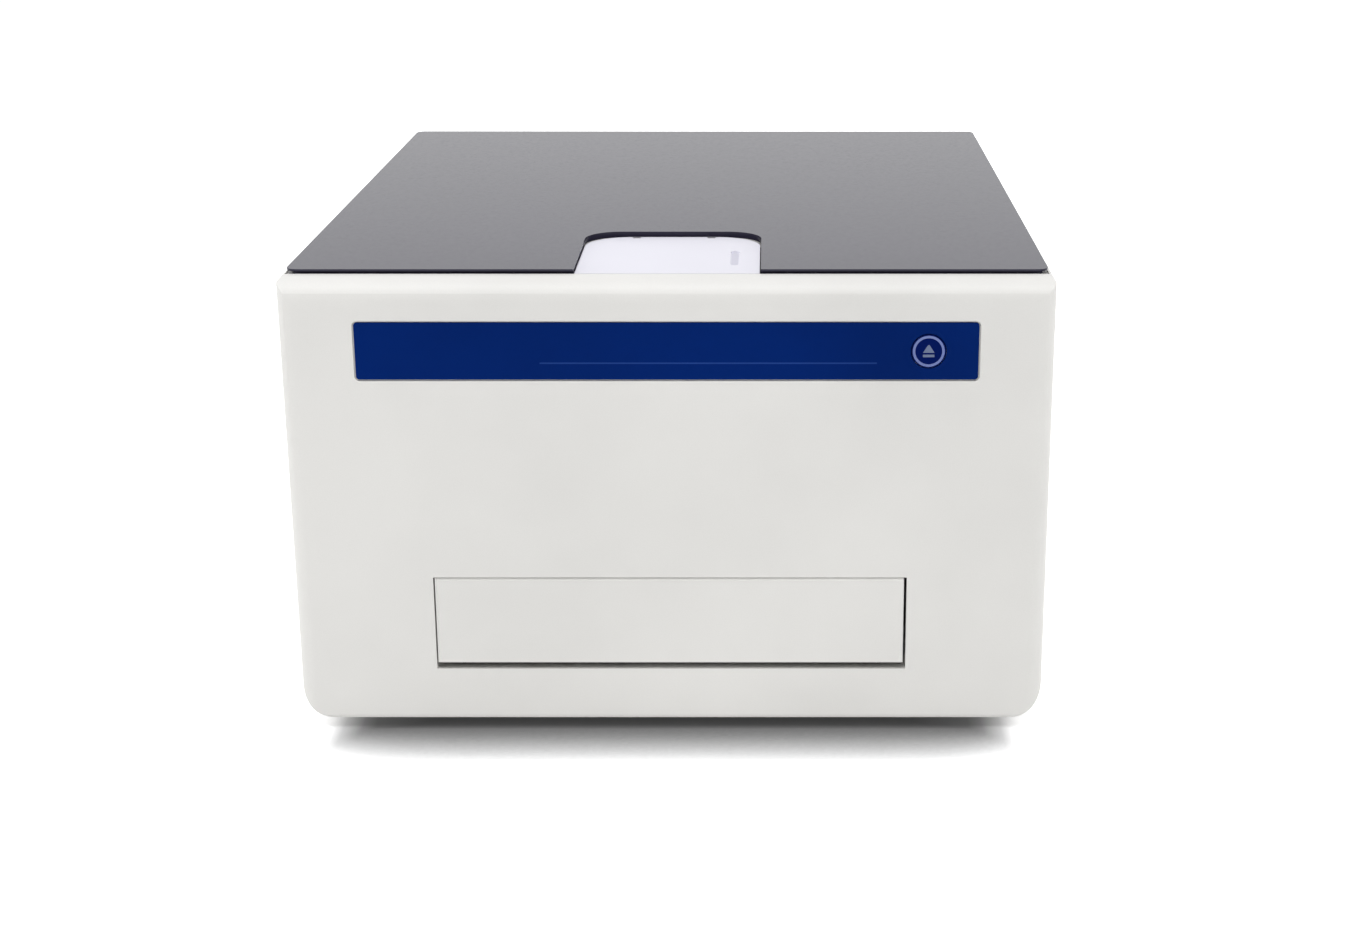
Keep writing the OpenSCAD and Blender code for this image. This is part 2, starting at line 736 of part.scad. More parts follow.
module rear_panel() color("#aeb1b5") {
  y0 = rear_y - rear_t;
  difference() {
    translate([0, 0, rear_z0 + rear_h / 2]) along_y(y0, rear_y) round_rect(rear_w, rear_h, 4);
    at_rear_screws() translate([0, 0, -wall - rear_t - over])
      cylinder(d = m3[0] + 2 * thread_gap, h = rear_t + 2 * over);
    block([inlet_x - inlet[0] / 2 - fit_gap, y0 - over, socket_z - inlet[1] / 2 - fit_gap],
          [inlet_x + inlet[0] / 2 + fit_gap, rear_y + over, socket_z + inlet[1] / 2 + fit_gap]);
    block([rocker_x - switch_hx - fit_gap, y0 - over, socket_z - switch_hz - fit_gap],
          [rocker_x + switch_hx + fit_gap, rear_y + over, socket_z + switch_hz + fit_gap]);
    for (x = usb_x)
      block([x - usb_size[0] / 2 - fit_gap, y0 - over, board_z + board_t - fit_gap],
            [x + usb_size[0] / 2 + fit_gap, rear_y + over, board_z + board_t + usb_size[2] + fit_gap]);
    // slots in front of the fan, cut to a circle
    for (k = [-4:4]) let (z = k * fan_w / 10, w = 2 * sqrt(pow(fan_w * 0.47, 2) - pow(z, 2)))
      translate([fan_x, 0, fan_z + z]) along_y(y0 - over, rear_y + over) slot(w, fan_w / 16);
    // air inlet slots
    for (x = [inlet_x + 12, inlet_x + 72], k = [0:7])
      translate([x, 0, fan_z - 24 + k * 7]) along_y(y0 - over, rear_y + over) slot(50, 3);
  }
}

module overlay_strip() color("#00256b") {
  difference() {
    along_y(strip_face, front + strip_recess) translate([0, strip_mid])
      round_rect(strip_w, strip_h, strip_r);
    bar_y([button_x, front - over, strip_mid], wall, button_hole / 2);
  }
}

module rubber_feet() color("#2b2b2d") {
  at_feet() difference() {
    cylinder(d1 = foot_d, d2 = foot_top_d, h = pan_z);
    translate([0, 0, -over]) cylinder(d = foot_sink_d, h = foot_sink + over);
    translate([0, 0, -over]) cylinder(d = foot_bore, h = pan_z + 2 * over);
  }
}

module fasteners() color("#7d7f82") {
  sunk = m3[2] + m3_sink;
  at_feet() {
    translate([0, 0, foot_sink]) mirror([0, 0, 1]) screw(m4, floor_z + m4_nut[1] - foot_sink);
    translate([0, 0, floor_z]) difference() {
      cylinder(d = m4_nut[0], h = m4_nut[1], $fn = 6);
      translate([0, 0, -over]) cylinder(d = m4[0] + 2 * thread_gap, h = m4_nut[1] + 2 * over);
    }
  }
  at_rear_screws() translate([0, 0, -sunk]) screw(m3, wall + rear_t + tip - sunk);
  at_pan_screws() translate([0, 0, -sunk]) screw(m3, wall + pan_t + tip - sunk);
  at_bracket_screws() translate([0, 0, bracket_t]) screw(m3, bracket_t + pan_t);
  at_cover_screws() translate([0, 0, cover_t]) screw(m3, cover_t + 6);
  at_board_screws() screw(m2, button_l);
  for (x = [-1, 1], y = pillar_y) translate([x * pillar_x, y, deck_top]) screw(m4, deck_t + 8);
}

// ---------------------------------------------------------------- cuvette port

module cuvette_lid() color("#ecebf2") {
  z0 = crown_z - lid_t;
  difference() {
    union() {
      translate([0, 0, z0]) linear_extrude(lid_t) notch_plan(lid_hw, lid_y0, lid_y1, lid_r);
      for (s = [-1, 1]) scale([s, 1, 1])
        bar_x([knuckle_x[0], hinge_y, hinge_z], knuckle_x[1] - knuckle_x[0], knuckle_r);
    }
    for (s = [-1, 1]) scale([s, 1, 1])
      bar_x([knuckle_x[0] - over, hinge_y, hinge_z], knuckle_x[1] - knuckle_x[0] + 2 * over,
            hinge_pin_r + pin_gap);
    // hollows that clear the ears of the port
    for (s = [-1, 1]) scale([s, 1, 1])
      bar_x([knuckle_x[1], hinge_y, hinge_z], ear_t + 2 * slide_gap, ear_r + slide_gap);
    // shallow finger groove beside the right edge
    translate([lid_hw - groove_inset, lid_y0 + groove_back, crown_z - groove[2]]) linear_extrude(lid_t)
      rotate(90) slot(groove[1], groove[0]);
  }
}

module lid_seal() color("#1c1c1e") {
  z0 = port_z + slide_gap;
  y0 = well_y0 + 2;
  y1 = hinge_y - 6;
  hx = lid_hw - 2;
  translate([0, 0, z0]) linear_extrude(crown_z - lid_t - z0) difference() {
    notch_plan(hx, y0, y1, lid_r - 2);
    notch_plan(hx - 4, y0 + 3, y1 - 3, lid_r - 6);
  }
}

module cuvette_well() color("#232326") {
  ear_x = knuckle_x[1] + slide_gap;
  trough_x = lid_hw - 8;
  difference() {
    union() {
      block([-well_hx, well_y0, well_top - well_plate], [well_hx, well_y1, well_top]);
      block([-cup_hx - cup_wall, cup_y0 - cup_wall, cup_floor - cup_wall],
            [cup_hx + cup_wall, cup_y1 + cup_wall, port_z]);
    }
    difference() {
      translate([0, (cup_y0 + cup_y1) / 2, cup_floor]) linear_extrude(20)
        round_rect(2 * cup_hx, cup_y1 - cup_y0, 6);
      translate([0, socket_y, cup_floor - over]) cylinder(d = socket_w + 14, h = over + 3);
    }
    // seat round the port that the lid closes on
    translate([0, 0, port_z]) linear_extrude(2) notch_plan(notch_w / 2, well_y0 - over, notch_y, notch_r);
    // trough that the lid's knuckles and rear edge turn in
    block([-trough_x, hinge_y - 3, port_z - 4], [trough_x, hinge_y + 3, well_top + over]);
    block([-socket_w / 2, socket_y - socket_w / 2, cup_floor - cup_wall - over],
          [socket_w / 2, socket_y + socket_w / 2, well_top]);
    // lead-in at the socket's mouth
    translate([0, socket_y, cup_floor + 1.5]) rotate(45)
      cylinder(d1 = socket_w * sqrt(2), d2 = (socket_w + 4) * sqrt(2), h = 1.51, $fn = 4);
  }
  // ears that hold the hinge pins
  for (s = [-1, 1]) scale([s, 1, 1]) difference() {
    union() {
      block([ear_x, hinge_y - ear_r, port_z - 4.1], [ear_x + ear_t, hinge_y + 0.6, hinge_z]);
      bar_x([ear_x, hinge_y, hinge_z], ear_t, ear_r);
    }
    bar_x([ear_x - over, hinge_y, hinge_z], ear_t + 2 * over, hinge_pin_r);
  }
}

module lid_hinge_pins() color("#b8b8bc") {
  for (s = [-1, 1]) scale([s, 1, 1])
    bar_x([knuckle_x[0] + 0.5, hinge_y, hinge_z], knuckle_x[1] - knuckle_x[0] - 0.5 + slide_gap + ear_t,
          hinge_pin_r);
}

module cuvette_block() color("#2e2f33") {
  difference() {
    block([-cube_hw, socket_y - cube_hw, cube_z0], [cube_hw, socket_y + cube_hw, cube_z1]);
    block([-socket_w / 2, socket_y - socket_w / 2, cup_floor - socket_depth],
          [socket_w / 2, socket_y + socket_w / 2, cube_z1 + over]);
    bar_x([-cube_hw - over, socket_y, path_z], 2 * cube_hw + 2 * over, light_r);
    for (s = [-1, 1]) scale([s, 1, 1]) bar_x([cube_hw - 6, socket_y, path_z], 7, lens_d / 2 + pin_gap);
  }
}

module cuvette_bracket() color("#b9bcc0") {
  hx = cube_hw + 12;
  hy = 14;
  for (s = [-1, 1]) scale([s, 1, 1]) {
    block([hx - bracket_t, socket_y - hy, deck_top], [hx, socket_y + hy, cube_z0]);
    block([hx, socket_y - hy, deck_top], [hx + 10, socket_y + hy, deck_top + bracket_t]);
  }
  difference() {
    block([-hx, socket_y - hy, cube_z0 - bracket_t], [hx, socket_y + hy, cube_z0]);
    for (x = [-12, 12]) bar_z([x, socket_y, cube_z0 - bracket_t - over], bracket_t + 2 * over, 1.7);
  }
}

// ---------------------------------------------------------------- button

module eject_button() color("#0a2f7d") {
  y0 = strip_face - 0.2;
  flange_y = front + wall + slide_gap;
  bar_y([button_x, y0, strip_mid], flange_y + button_flange[1] - y0, button_d / 2);
  bar_y([button_x, flange_y, strip_mid], button_flange[1], button_flange[0] / 2);
  bar_y([button_x, flange_y, strip_mid], 3, 2);
}

module button_board() color("#1f6b3a") {
  y0 = front + wall - 0.5 + button_l;
  stem_y = front + wall + slide_gap + 3 + button_travel + fit_gap;
  difference() {
    block([button_x - 18, y0, strip_mid - 9], [button_x + 18, y0 + board_t, strip_mid + 9]);
    for (x = [-14, 14]) bar_y([button_x + x, y0 - over, strip_mid], board_t + 2 * over, 1.4);
  }
  block([button_x - 3, y0 - 2.4, strip_mid - 3], [button_x + 3, y0, strip_mid + 3]);
  bar_y([button_x, stem_y, strip_mid], y0 - stem_y, 1.6);
  block([button_x - 4, y0 + board_t, strip_mid - 3], [button_x + 4, y0 + board_t + 5, strip_mid + 3]);
}

// ---------------------------------------------------------------- drawer slides and drive

module outer_rails() color("#9fa3a8") {
  reach = rail_w - 1.5 + slide_gap + rail_wall;
  z0 = rail_z - rail_h / 2 - slide_gap;
  z1 = rail_z + rail_h / 2 + slide_gap;
  for (s = [-1, 1]) scale([s, 1, 1]) difference() {
    block([outer_x - reach, outer_y0, z0 - rail_wall], [outer_x, outer_y1, z1 + rail_wall]);
    block([outer_x - reach - over, outer_y0 - over, z0], [outer_x - rail_wall, outer_y1 + over, z1]);
  }
}

module rail_brackets() color("#b9bcc0") {
  x0 = outer_x;
  z1 = rail_z + rail_h / 2 + slide_gap + rail_wall;
  pitch = (outer_y1 - outer_y0) / rail_windows;
  for (s = [-1, 1]) scale([s, 1, 1]) difference() {
    union() {
      block([x0, outer_y0, floor_z], [x0 + bracket_t, outer_y1, z1]);
      block([x0 - 12, outer_y0, floor_z], [x0 + bracket_t, outer_y1, floor_z + bracket_t]);
    }
    for (k = [0:rail_windows - 1])
      translate([0, outer_y0 + (k + 0.5) * pitch, floor_z + 12])
        along_x(x0 - over, x0 + bracket_t + over) slot(pitch - 22, 10);
    for (k = [0:rail_windows])
      bar_z([x0 - 6, bracket_screw_y(k), floor_z - over], bracket_t + 2 * over, 1.7);
  }
}

module inner_rails() color("#c3c6ca") {
  for (s = [-1, 1]) scale([s, 1, 1]) difference() {
    block([tray_hw, inner_y0, rail_z - rail_h / 2], [tray_hw + rail_w, inner_y1, rail_z + rail_h / 2]);
    for (z = [-1, 1]) bar_y([tray_hw + rail_w * 0.6, inner_y0 - over, rail_z + z * (rail_h / 2 + 0.4)],
                            inner_y1 - inner_y0 + 2 * over, rail_groove_r);
  }
}

module drawer_motor() color("#6f7276") {
  x1 = motor_plate_x - bracket_t / 2;
  difference() {
    union() {
      bar_x([x1 - gear_motor_l, pinion_y, pinion_z], gear_motor_l - 18, gear_motor_r - 0.6);
      bar_x([x1 - 18, pinion_y, pinion_z], 18, gear_motor_r);
      bar_x([x1 - gear_motor_l - 3, pinion_y, pinion_z], 4, 4);
    }
    bar_x([x1 - 10, pinion_y, pinion_z], 12, shaft_r + pin_gap);
  }
}

module motor_plate() color("#b9bcc0") {
  x0 = motor_plate_x - bracket_t / 2;
  hy = gear_motor_r + 3;
  difference() {
    union() {
      block([x0, pinion_y - hy, floor_z], [x0 + bracket_t, pinion_y + hy, tray_z - 3.2]);
      block([x0 - 14, pinion_y - hy, floor_z], [x0 + bracket_t, pinion_y + hy, floor_z + bracket_t]);
    }
    bar_x([x0 - over, pinion_y, pinion_z], bracket_t + 2 * over, shaft_r + 1.5);
    for (y = [-8, 8]) bar_x([x0 - over, pinion_y + y, pinion_z], bracket_t + 2 * over, 1.3);
    for (y = [-7, 7]) bar_z([x0 - 8, pinion_y + y, floor_z - over], bracket_t + 2 * over, 1.7);
  }
}

module drawer_pinion() color("#d9c27a") {
  x0 = motor_plate_x - bracket_t / 2;
  translate([rack_x - pinion_w / 2, pinion_y, pinion_z]) rotate([90, 0, 90])
    linear_extrude(pinion_w) rotate(90) polygon(gear_points(tooth_module, pinion_teeth));
  bar_x([x0 - 9, pinion_y, pinion_z], rack_x + pinion_w / 2 + 2 - (x0 - 9), shaft_r);
}

module drawer_rack() color("#e8e2cf") {
  pitch = PI * tooth_module;
  before = ceil(6 / pitch);
  teeth = ceil((drawer_travel + 6) / pitch) + before;
  // a tooth gap stands over the pinion's axis at rest
  y0 = pinion_y - before * pitch;
  translate([rack_x + rack_w / 2, y0, rack_pitch_z]) rotate([0, 0, 90]) rotate([90, 0, 0])
    linear_extrude(rack_w)
      polygon(rack_points(tooth_module, teeth, tray_z - rack_pitch_z - 1.25 * tooth_module));
}

// ---------------------------------------------------------------- drawer

module drawer_front() color("#e6e6e2") {
  ribs = 5;
  difference() {
    block([-door_hw, front, door_z0], [door_hw, front + door_t, door_z1]);
    block([-door_hw + 4, front + door_t - 1, tray_top + 14],
          [door_hw - 4, front + door_t + over, door_z1 - 4]);
  }
  for (k = [0:ribs - 1]) let (x = (k - (ribs - 1) / 2) * (2 * door_hw - 30) / (ribs - 1))
    block([x - 1, front + door_t - 1.2, tray_top + 10], [x + 1, front + door_t, door_z1 - 4]);
}

module drawer_tray() color("#4b4d52") {
  slot_hx = 9;
  difference() {
    union() {
      block([-tray_hw, tray_y0, tray_z], [tray_hw, tray_y1, tray_top]);
      for (s = [-1, 1]) scale([s, 1, 1])
        block([tray_hw - tray_t, tray_y0, tray_z - tray_flange], [tray_hw, tray_y1, tray_top]);
      // upright tab behind the drawer front
      block([-tray_hw + 4, tray_y0, tray_z], [tray_hw - 4, tray_y0 + tray_t, tray_top + 12]);
    }
    // light passes down to the detectors
    translate([0, carriage_y, tray_z - over]) linear_extrude(tray_t + 2 * over)
      round_rect(2 * slot_hx, 2 * head_hy, 3);
    // opening for the carriage motor's lead
    translate([-pulley_x + 40, belt_plate_y + 20, tray_z - over]) linear_extrude(tray_t + 2 * over)
      round_rect(30, 20, 5);
  }
}

module rod_blocks() color("#7d8085") {
  for (x = [-1, 1], y = [-1, 1]) scale([x, 1, 1]) difference() {
    block([block_x0, carriage_y + y * rod_off - block_hy, tray_top],
          [tray_hw - 1, carriage_y + y * rod_off + block_hy, rod_z + rod_d / 2 + 2.5]);
    bar_x([block_x0 - over, carriage_y + y * rod_off, rod_z], block_l, rod_d / 2);
  }
}

module carriage_rods() color("#d2d5d8") {
  for (y = [-1, 1]) bar_x([-block_x0 - 5, carriage_y + y * rod_off, rod_z], 2 * block_x0 + 10, rod_d / 2);
}

module carriage_motor() color("#56585c") {
  difference() {
    union() {
      translate([-pulley_x, 0, belt_z])
        along_y(belt_plate_y + bracket_t, belt_plate_y + bracket_t + motor_l)
        round_rect(motor_w, motor_w, 3);
      bar_y([-pulley_x, belt_plate_y + 0.5, belt_z], bracket_t, 7);
    }
    bar_y([-pulley_x, belt_plate_y, belt_z], 14, shaft_r + pin_gap);
  }
}

module belt_brackets() color("#b9bcc0") {
  y0 = belt_plate_y;
  h = motor_w + 1;
  plate_hx = 14;
  ledge = 22;
  boss_hole_r = 7.2;
  screw_at = 10;
  screw_r = 1.3;
  difference() {
    for (s = [-1, 1]) {
      block([s * pulley_x - plate_hx, y0, tray_top], [s * pulley_x + plate_hx, y0 + bracket_t, tray_top + h]);
      block([s * pulley_x - plate_hx, y0, tray_top],
            [s * pulley_x + plate_hx, y0 + ledge, tray_top + bracket_t]);
    }
    bar_y([-pulley_x, y0 - over, belt_z], bracket_t + 2 * over, boss_hole_r);
    for (x = [-screw_at, screw_at], z = [-screw_at, screw_at])
      bar_y([-pulley_x + x, y0 - over, belt_z + z], bracket_t + 2 * over, screw_r);
  }
  bar_y([pulley_x, belt_y - belt_w / 2 - 1.8, belt_z], y0 + 0.5 - (belt_y - belt_w / 2 - 1.8), idler_r);
  bar_y([pulley_x, belt_y - belt_w / 2 - 2.4, belt_z], 0.9, idler_r + 1.4);
}

module pulley(core) {
  w = belt_w + 2 * slide_gap;
  translate([0, belt_y, 0]) {
    bar_y([0, -w / 2, 0], w, core);
    for (y = [-w / 2 - 0.8, w / 2]) bar_y([0, y, 0], 0.8, pulley_flange);
  }
}

module drive_pulley() color("#c9ccd0") {
  translate([-pulley_x, 0, belt_z]) {
    difference() {
      pulley(pulley_core);
      for (k = [0:19]) rotate([0, k * 18, 0])
        bar_y([0, belt_y - belt_w / 2, pulley_core + 0.1], belt_w, 0.5);
    }
    bar_y([0, belt_y - belt_w / 2 - 1.5, 0], belt_plate_y + 12 - (belt_y - belt_w / 2 - 1.5), shaft_r);
  }
}

module idler_pulley() color("#c9ccd0") {
  difference() {
    translate([pulley_x, 0, belt_z]) pulley(pulley_core);
    bar_y([pulley_x, belt_y - belt_w, belt_z], 2 * belt_w, idler_r + pin_gap);
  }
}

module belt_loop(r) {
  square([2 * pulley_x, 2 * r], center = true);
  for (s = [-1, 1]) translate([s * pulley_x, 0]) circle(r);
}

module carriage_belt() color("#1d1d1f") {
  translate([0, 0, belt_z]) along_y(belt_y - belt_w / 2, belt_y + belt_w / 2) difference() {
    belt_loop(belt_out);
    belt_loop(belt_in);
  }
}

// ---------------------------------------------------------------- plate carriage

module plate_carriage() color("#303135") {
  arm_z0 = rod_z + rod_d / 2 + 1;
  grip_y = belt_w / 2 + 1.5;
  grip_z1 = belt_z + belt_out + 3;
  difference() {
    union() {
      translate([0, carriage_y, carriage_z0]) linear_extrude(carriage_z1 - carriage_z0)
        round_rect(2 * frame_hx, 2 * frame_hy, 4);
      for (x = [-lug_x, lug_x], y = [-1, 1]) {
        bar_x([x - lug_l / 2, carriage_y + y * rod_off, rod_z], lug_l, lug_r);
        block([x - lug_l / 2, carriage_y + min(y * rod_off, y * (frame_hy - 1)), carriage_z0],
              [x + lug_l / 2, carriage_y + max(y * rod_off, y * (frame_hy - 1)), carriage_z1 - 3]);
      }
      // arm that the belt pulls
      block([-clamp_hx, carriage_y + frame_hy - 1, arm_z0], [clamp_hx, belt_y + grip_y, carriage_z1]);
      block([-clamp_hx, belt_y - grip_y, arm_z0], [clamp_hx, belt_y + grip_y, grip_z1]);
    }
    // nest for the foot of a plate, and the opening that its wells look down through
    translate([0, carriage_y, nest_z]) linear_extrude(nest_depth + over)
      square([2 * nest_hx, 2 * nest_hy], center = true);
    translate([0, carriage_y, carriage_z0 - over]) linear_extrude(nest_z)
      square([2 * (nest_hx - ledge), 2 * (nest_hy - ledge)], center = true);
    // thumb cut-outs
    for (x = [-1, 1]) bar_z([x * frame_hx, carriage_y - 14, nest_z - 1.5], nest_depth + 3, 11);
    for (x = [-lug_x, lug_x], y = [-1, 1])
      bar_x([x - lug_l / 2 - over, carriage_y + y * rod_off, rod_z], lug_l + 2 * over,
            rod_d / 2 + bush_wall);
    // slot that the belt runs through
    block([-clamp_hx - over, belt_y - belt_w / 2 - slide_gap, belt_z + belt_in - slide_gap],
          [clamp_hx + over, belt_y + belt_w / 2 + slide_gap, belt_z + belt_out + slide_gap]);
    // pocket for the lever
    block([lever_x - lever_t, lever_pivot_y - 6, lever_z0 - slide_gap],
          [frame_hx + over, lever_pivot_y + lever_l + 1, carriage_z1 + over]);
    block([nest_hx - 1, lever_pivot_y + lever_l - 7, lever_z0 - slide_gap],
          [frame_hx + over, lever_pivot_y + lever_l + 1, carriage_z1 + over]);
    bar_z([lever_x, lever_pivot_y, carriage_z0 + 3], nest_depth + 8, lever_pin_r + pin_gap);
  }
}

module carriage_bushes() color("#b08d57") {
  for (x = [-lug_x, lug_x], y = [-1, 1]) difference() {
    bar_x([x - lug_l / 2, carriage_y + y * rod_off, rod_z], lug_l, rod_d / 2 + bush_wall);
    bar_x([x - lug_l / 2 - over, carriage_y + y * rod_off, rod_z], lug_l + 2 * over, rod_d / 2 + pin_gap);
  }
}

module plate_lever() color("#9b9ea3") {
  z1 = carriage_z1 - 0.5;
  tip_y = lever_pivot_y + lever_l - 3;
  bar_z([lever_x, lever_pivot_y, lever_z0], z1 - lever_z0, lever_r);
  block([lever_x - lever_t / 2, lever_pivot_y, lever_z0], [lever_x + lever_t / 2, tip_y, z1]);
  bar_z([nest_hx + 0.6, tip_y, lever_z0], z1 - lever_z0, 1.8);
  block([nest_hx + 0.6, tip_y - 1.8, lever_z0], [lever_x + lever_t / 2, tip_y + 1.8, z1]);
  bar_z([lever_x, lever_pivot_y, carriage_z0 + 4], z1 - carriage_z0 - 4, lever_pin_r);
}

// ---------------------------------------------------------------- optics

module optics_deck() color("#a9adb2") {
  difference() {
    block([-deck_hx, deck_y0, deck_z], [deck_hx, deck_y1, deck_top]);
    for (y = channel_y) bar_z([0, y, deck_z - over], deck_t + 2 * over, ferrule_r + 0.4);
    for (x = [-1, 1], y = pillar_y) bar_z([x * pillar_x, y, deck_z - over], deck_t + 2 * over, 2.2);
  }
}

module deck_pillars() color("#c3c6ca") {
  for (x = [-1, 1], y = pillar_y) {
    difference() {
      bar_z([x * pillar_x, y, floor_z], deck_z - floor_z, pillar_d / 2);
      bar_z([x * pillar_x, y, deck_z - 10], 10 + over, m4[0] / 2 + thread_gap);
    }
  }
}

module read_head() color("#2a2b2f") {
  difference() {
    block([-head_hx, carriage_y - head_hy, head_z0], [head_hx, carriage_y + head_hy, deck_z]);
    for (y = channel_y) {
      bar_z([0, y, head_z0 - over], deck_z, light_r);
      bar_z([0, y, head_z0 - over], 4 + over, lens_d / 2 + pin_gap);
      bar_z([0, y, deck_z - 8], 8 + over, ferrule_r + pin_gap);
    }
  }
}

module detector_block() color("#2a2b2f") {
  hx = head_hx;
  difference() {
    block([-hx, carriage_y - head_hy, detector_z0], [hx, carriage_y + head_hy, detector_z1]);
    for (y = channel_y) {
      bar_z([0, y, detector_z0 - over], detector_z1, light_r);
      bar_z([0, y, detector_z1 - 4], 4 + over, lens_d / 2 + pin_gap);
    }
  }
  for (y = [-1, 1])
    block([-hx, carriage_y + y * (head_hy - 2) - 2, floor_z],
          [hx, carriage_y + y * (head_hy - 2) + 2, detector_z0 + 1]);
}

module detector_board() color("#1f6b3a") {
  z1 = detector_z0 - 2.6;
  block([-head_hx + 1, carriage_y - head_hy + 4.5, z1 - board_t],
        [head_hx - 1, carriage_y + head_hy - 4.5, z1]);
  for (y = channel_y) block([-2.5, y - 2.5, z1], [2.5, y + 2.5, z1 + 2.3]);
  for (y = [-1, 1])
    bar_z([-head_hx + 4, carriage_y + y * (head_hy - 9), floor_z], z1 - board_t - floor_z, 2);
}

module plano_lens(d) {
  intersection() {
    cylinder(d = d, h = 3);
    translate([0, 0, 3 - d]) sphere(d);
  }
}

module optical_lenses() color("#bcd6e6") {
  for (y = channel_y) {
    translate([0, y, head_z0 + 3.6]) mirror([0, 0, 1]) plano_lens(lens_d);
    translate([0, y, detector_z1 - 3.6]) plano_lens(lens_d);
  }
  for (s = [-1, 1]) scale([s, 1, 1]) translate([cube_hw - 5, socket_y, path_z]) rotate([0, 90, 0])
    plano_lens(lens_d);
}

module fibre_bundle() color("#26262a") {
  hood = 22;
  // hood over the eight ferrules, with the port that the sheath enters
  block([-9, carriage_y - head_hy + 4, deck_top], [9, carriage_y + head_hy - 4, deck_top + hood]);
  for (y = channel_y) bar_z([0, y, deck_z - 7], deck_top + 1 - (deck_z - 7), ferrule_r);
  bar_y([exit_x, mono_y0 - 9, beam_z + 4], 9, 6);
  tube(fibre_route, 3.2, 10);
}

// ---------------------------------------------------------------- monochromator

module mono_base() color("#3a3b40") {
  light_in_r = 4;
  light_out_r = 3;
  column_in = 8;
  column_r = 5;
  screw_depth = 8;
  holder_hw = 9;
  holder_t = 5;
  slit_hw = 0.6;
  difference() {
    block([mono_x0, mono_y0, deck_top], [mono_x1, mono_y1, mono_z1 - cover_t]);
    block([mono_x0 + mono_wall, mono_y0 + mono_wall, deck_top + mono_wall],
          [mono_x1 - mono_wall, mono_y1 - mono_wall, mono_z1]);
    bar_x([mono_x1 - mono_wall - over, beam_y, beam_z], mono_wall + 2 * over, light_in_r);
    bar_y([exit_x, mono_y0 - over, beam_z + 4], mono_wall + 2 * over, light_out_r);
  }
  for (x = [mono_x0 + column_in, mono_x1 - column_in], y = [mono_y0 + column_in, mono_y1 - column_in])
    difference() {
      bar_z([x, y, deck_top + 2], mono_z1 - cover_t - 2 - deck_top, column_r);
      bar_z([x, y, mono_z1 - cover_t - screw_depth], screw_depth + 2, m3[0] / 2 + thread_gap);
    }
  // slit holders
  difference() {
    block([mono_x1 - mono_wall - holder_t, beam_y - holder_hw, deck_top + 2],
          [mono_x1 - mono_wall + 0.5, beam_y + holder_hw, beam_z + 10]);
    block([mono_x1 - mono_wall - holder_t - 1, beam_y - slit_hw, beam_z - 5],
          [mono_x1, beam_y + slit_hw, beam_z + 5]);
  }
  difference() {
    block([exit_x - holder_hw, mono_y0 + mono_wall - 0.5, deck_top + 2],
          [exit_x + holder_hw, mono_y0 + mono_wall + holder_t, beam_z + 12]);
    block([exit_x - slit_hw, mono_y0 + 2, beam_z - 3],
          [exit_x + slit_hw, mono_y0 + mono_wall + holder_t + 1, beam_z + 9]);
  }
}

module mono_cover() color("#45464b") {
  difference() {
    block([mono_x0, mono_y0, mono_z1 - cover_t], [mono_x1, mono_y1, mono_z1]);
    bar_z([grating_x, grating_y, mono_z1 - cover_t - over], cover_t + 2 * over, 6.2);
    at_cover_screws() translate([0, 0, -over]) cylinder(r = 1.7, h = cover_t + 2 * over);
  }
}

// A concave mirror on its stand, facing along its own -Y
module mirror_stand() {
  mirror_t = 6;
  mirror_r = 14;
  curve_r = 97.2;
  hollow_d = 1.2;
  stand_hx = 9;
  difference() {
    bar_y([0, 0, beam_z], mirror_t, mirror_r);
    translate([0, hollow_d - curve_r, beam_z]) sphere(curve_r, $fn = 256);
  }
  block([-stand_hx, 1, deck_top + mono_wall], [stand_hx, mirror_t + 2, beam_z - 8]);
}

module mono_mirrors() color("#cfd6dc") {
  translate([mono_x0 + 24, beam_y + 2, 0]) rotate(60) mirror_stand();
  translate([grating_x + 0.24 * (mono_x1 - mono_x0), mono_y1 - 26, 0]) rotate(-4) mirror_stand();
}

module grating() color("#b6a7d6") {
  hw = grating_w / 2;
  table_z = deck_top + mono_wall + 6;
  spindle_r = 2;
  ledge_hy = 3;
  translate([grating_x, grating_y, 0]) {
    bar_z([0, 0, table_z], 4, hw);
    bar_z([0, 0, table_z], mono_z1 + 8 - table_z, spindle_r);
    block([-hw, 2, beam_z - hw], [hw, 7, beam_z + hw - 2]);
    block([-hw, -ledge_hy, table_z + 2], [hw, ledge_hy, beam_z - hw + 2]);
    block([-5, -ledge_hy, table_z + 2], [5, ledge_hy, beam_z + 8]);
  }
}

module optics_motors() color("#8d9095") {
  spindle_r = 2;
  ear_hx = 17;
  ear_hy = 4;
  post_hy = 6;
  post_x = wheel_x + wheel_t + 5;
  // motor that turns the grating, on the cover
  difference() {
    union() {
      bar_z([grating_x, grating_y, mono_z1], can_l, can_r);
      bar_z([grating_x, grating_y, mono_z1 - 1.5], 2, 6);
      block([grating_x - ear_hx, grating_y - ear_hy, mono_z1],
            [grating_x + ear_hx, grating_y + ear_hy, mono_z1 + 1]);
    }
    bar_z([grating_x, grating_y, mono_z1 - 2], 12, spindle_r + pin_gap);
  }
  // motor that turns the filter wheel, on a post from the deck
  difference() {
    union() {
      bar_x([wheel_x + wheel_t + 3, wheel_y, beam_z], can_l, can_r);
      block([post_x, wheel_y - post_hy, deck_top], [post_x + 4, wheel_y + post_hy, beam_z]);
      block([post_x, wheel_y - post_hy, deck_top], [post_x + 12, wheel_y + post_hy, deck_top + bracket_t]);
    }
    bar_x([wheel_x + wheel_t + 2, wheel_y, beam_z], 12, spindle_r + pin_gap);
  }
}

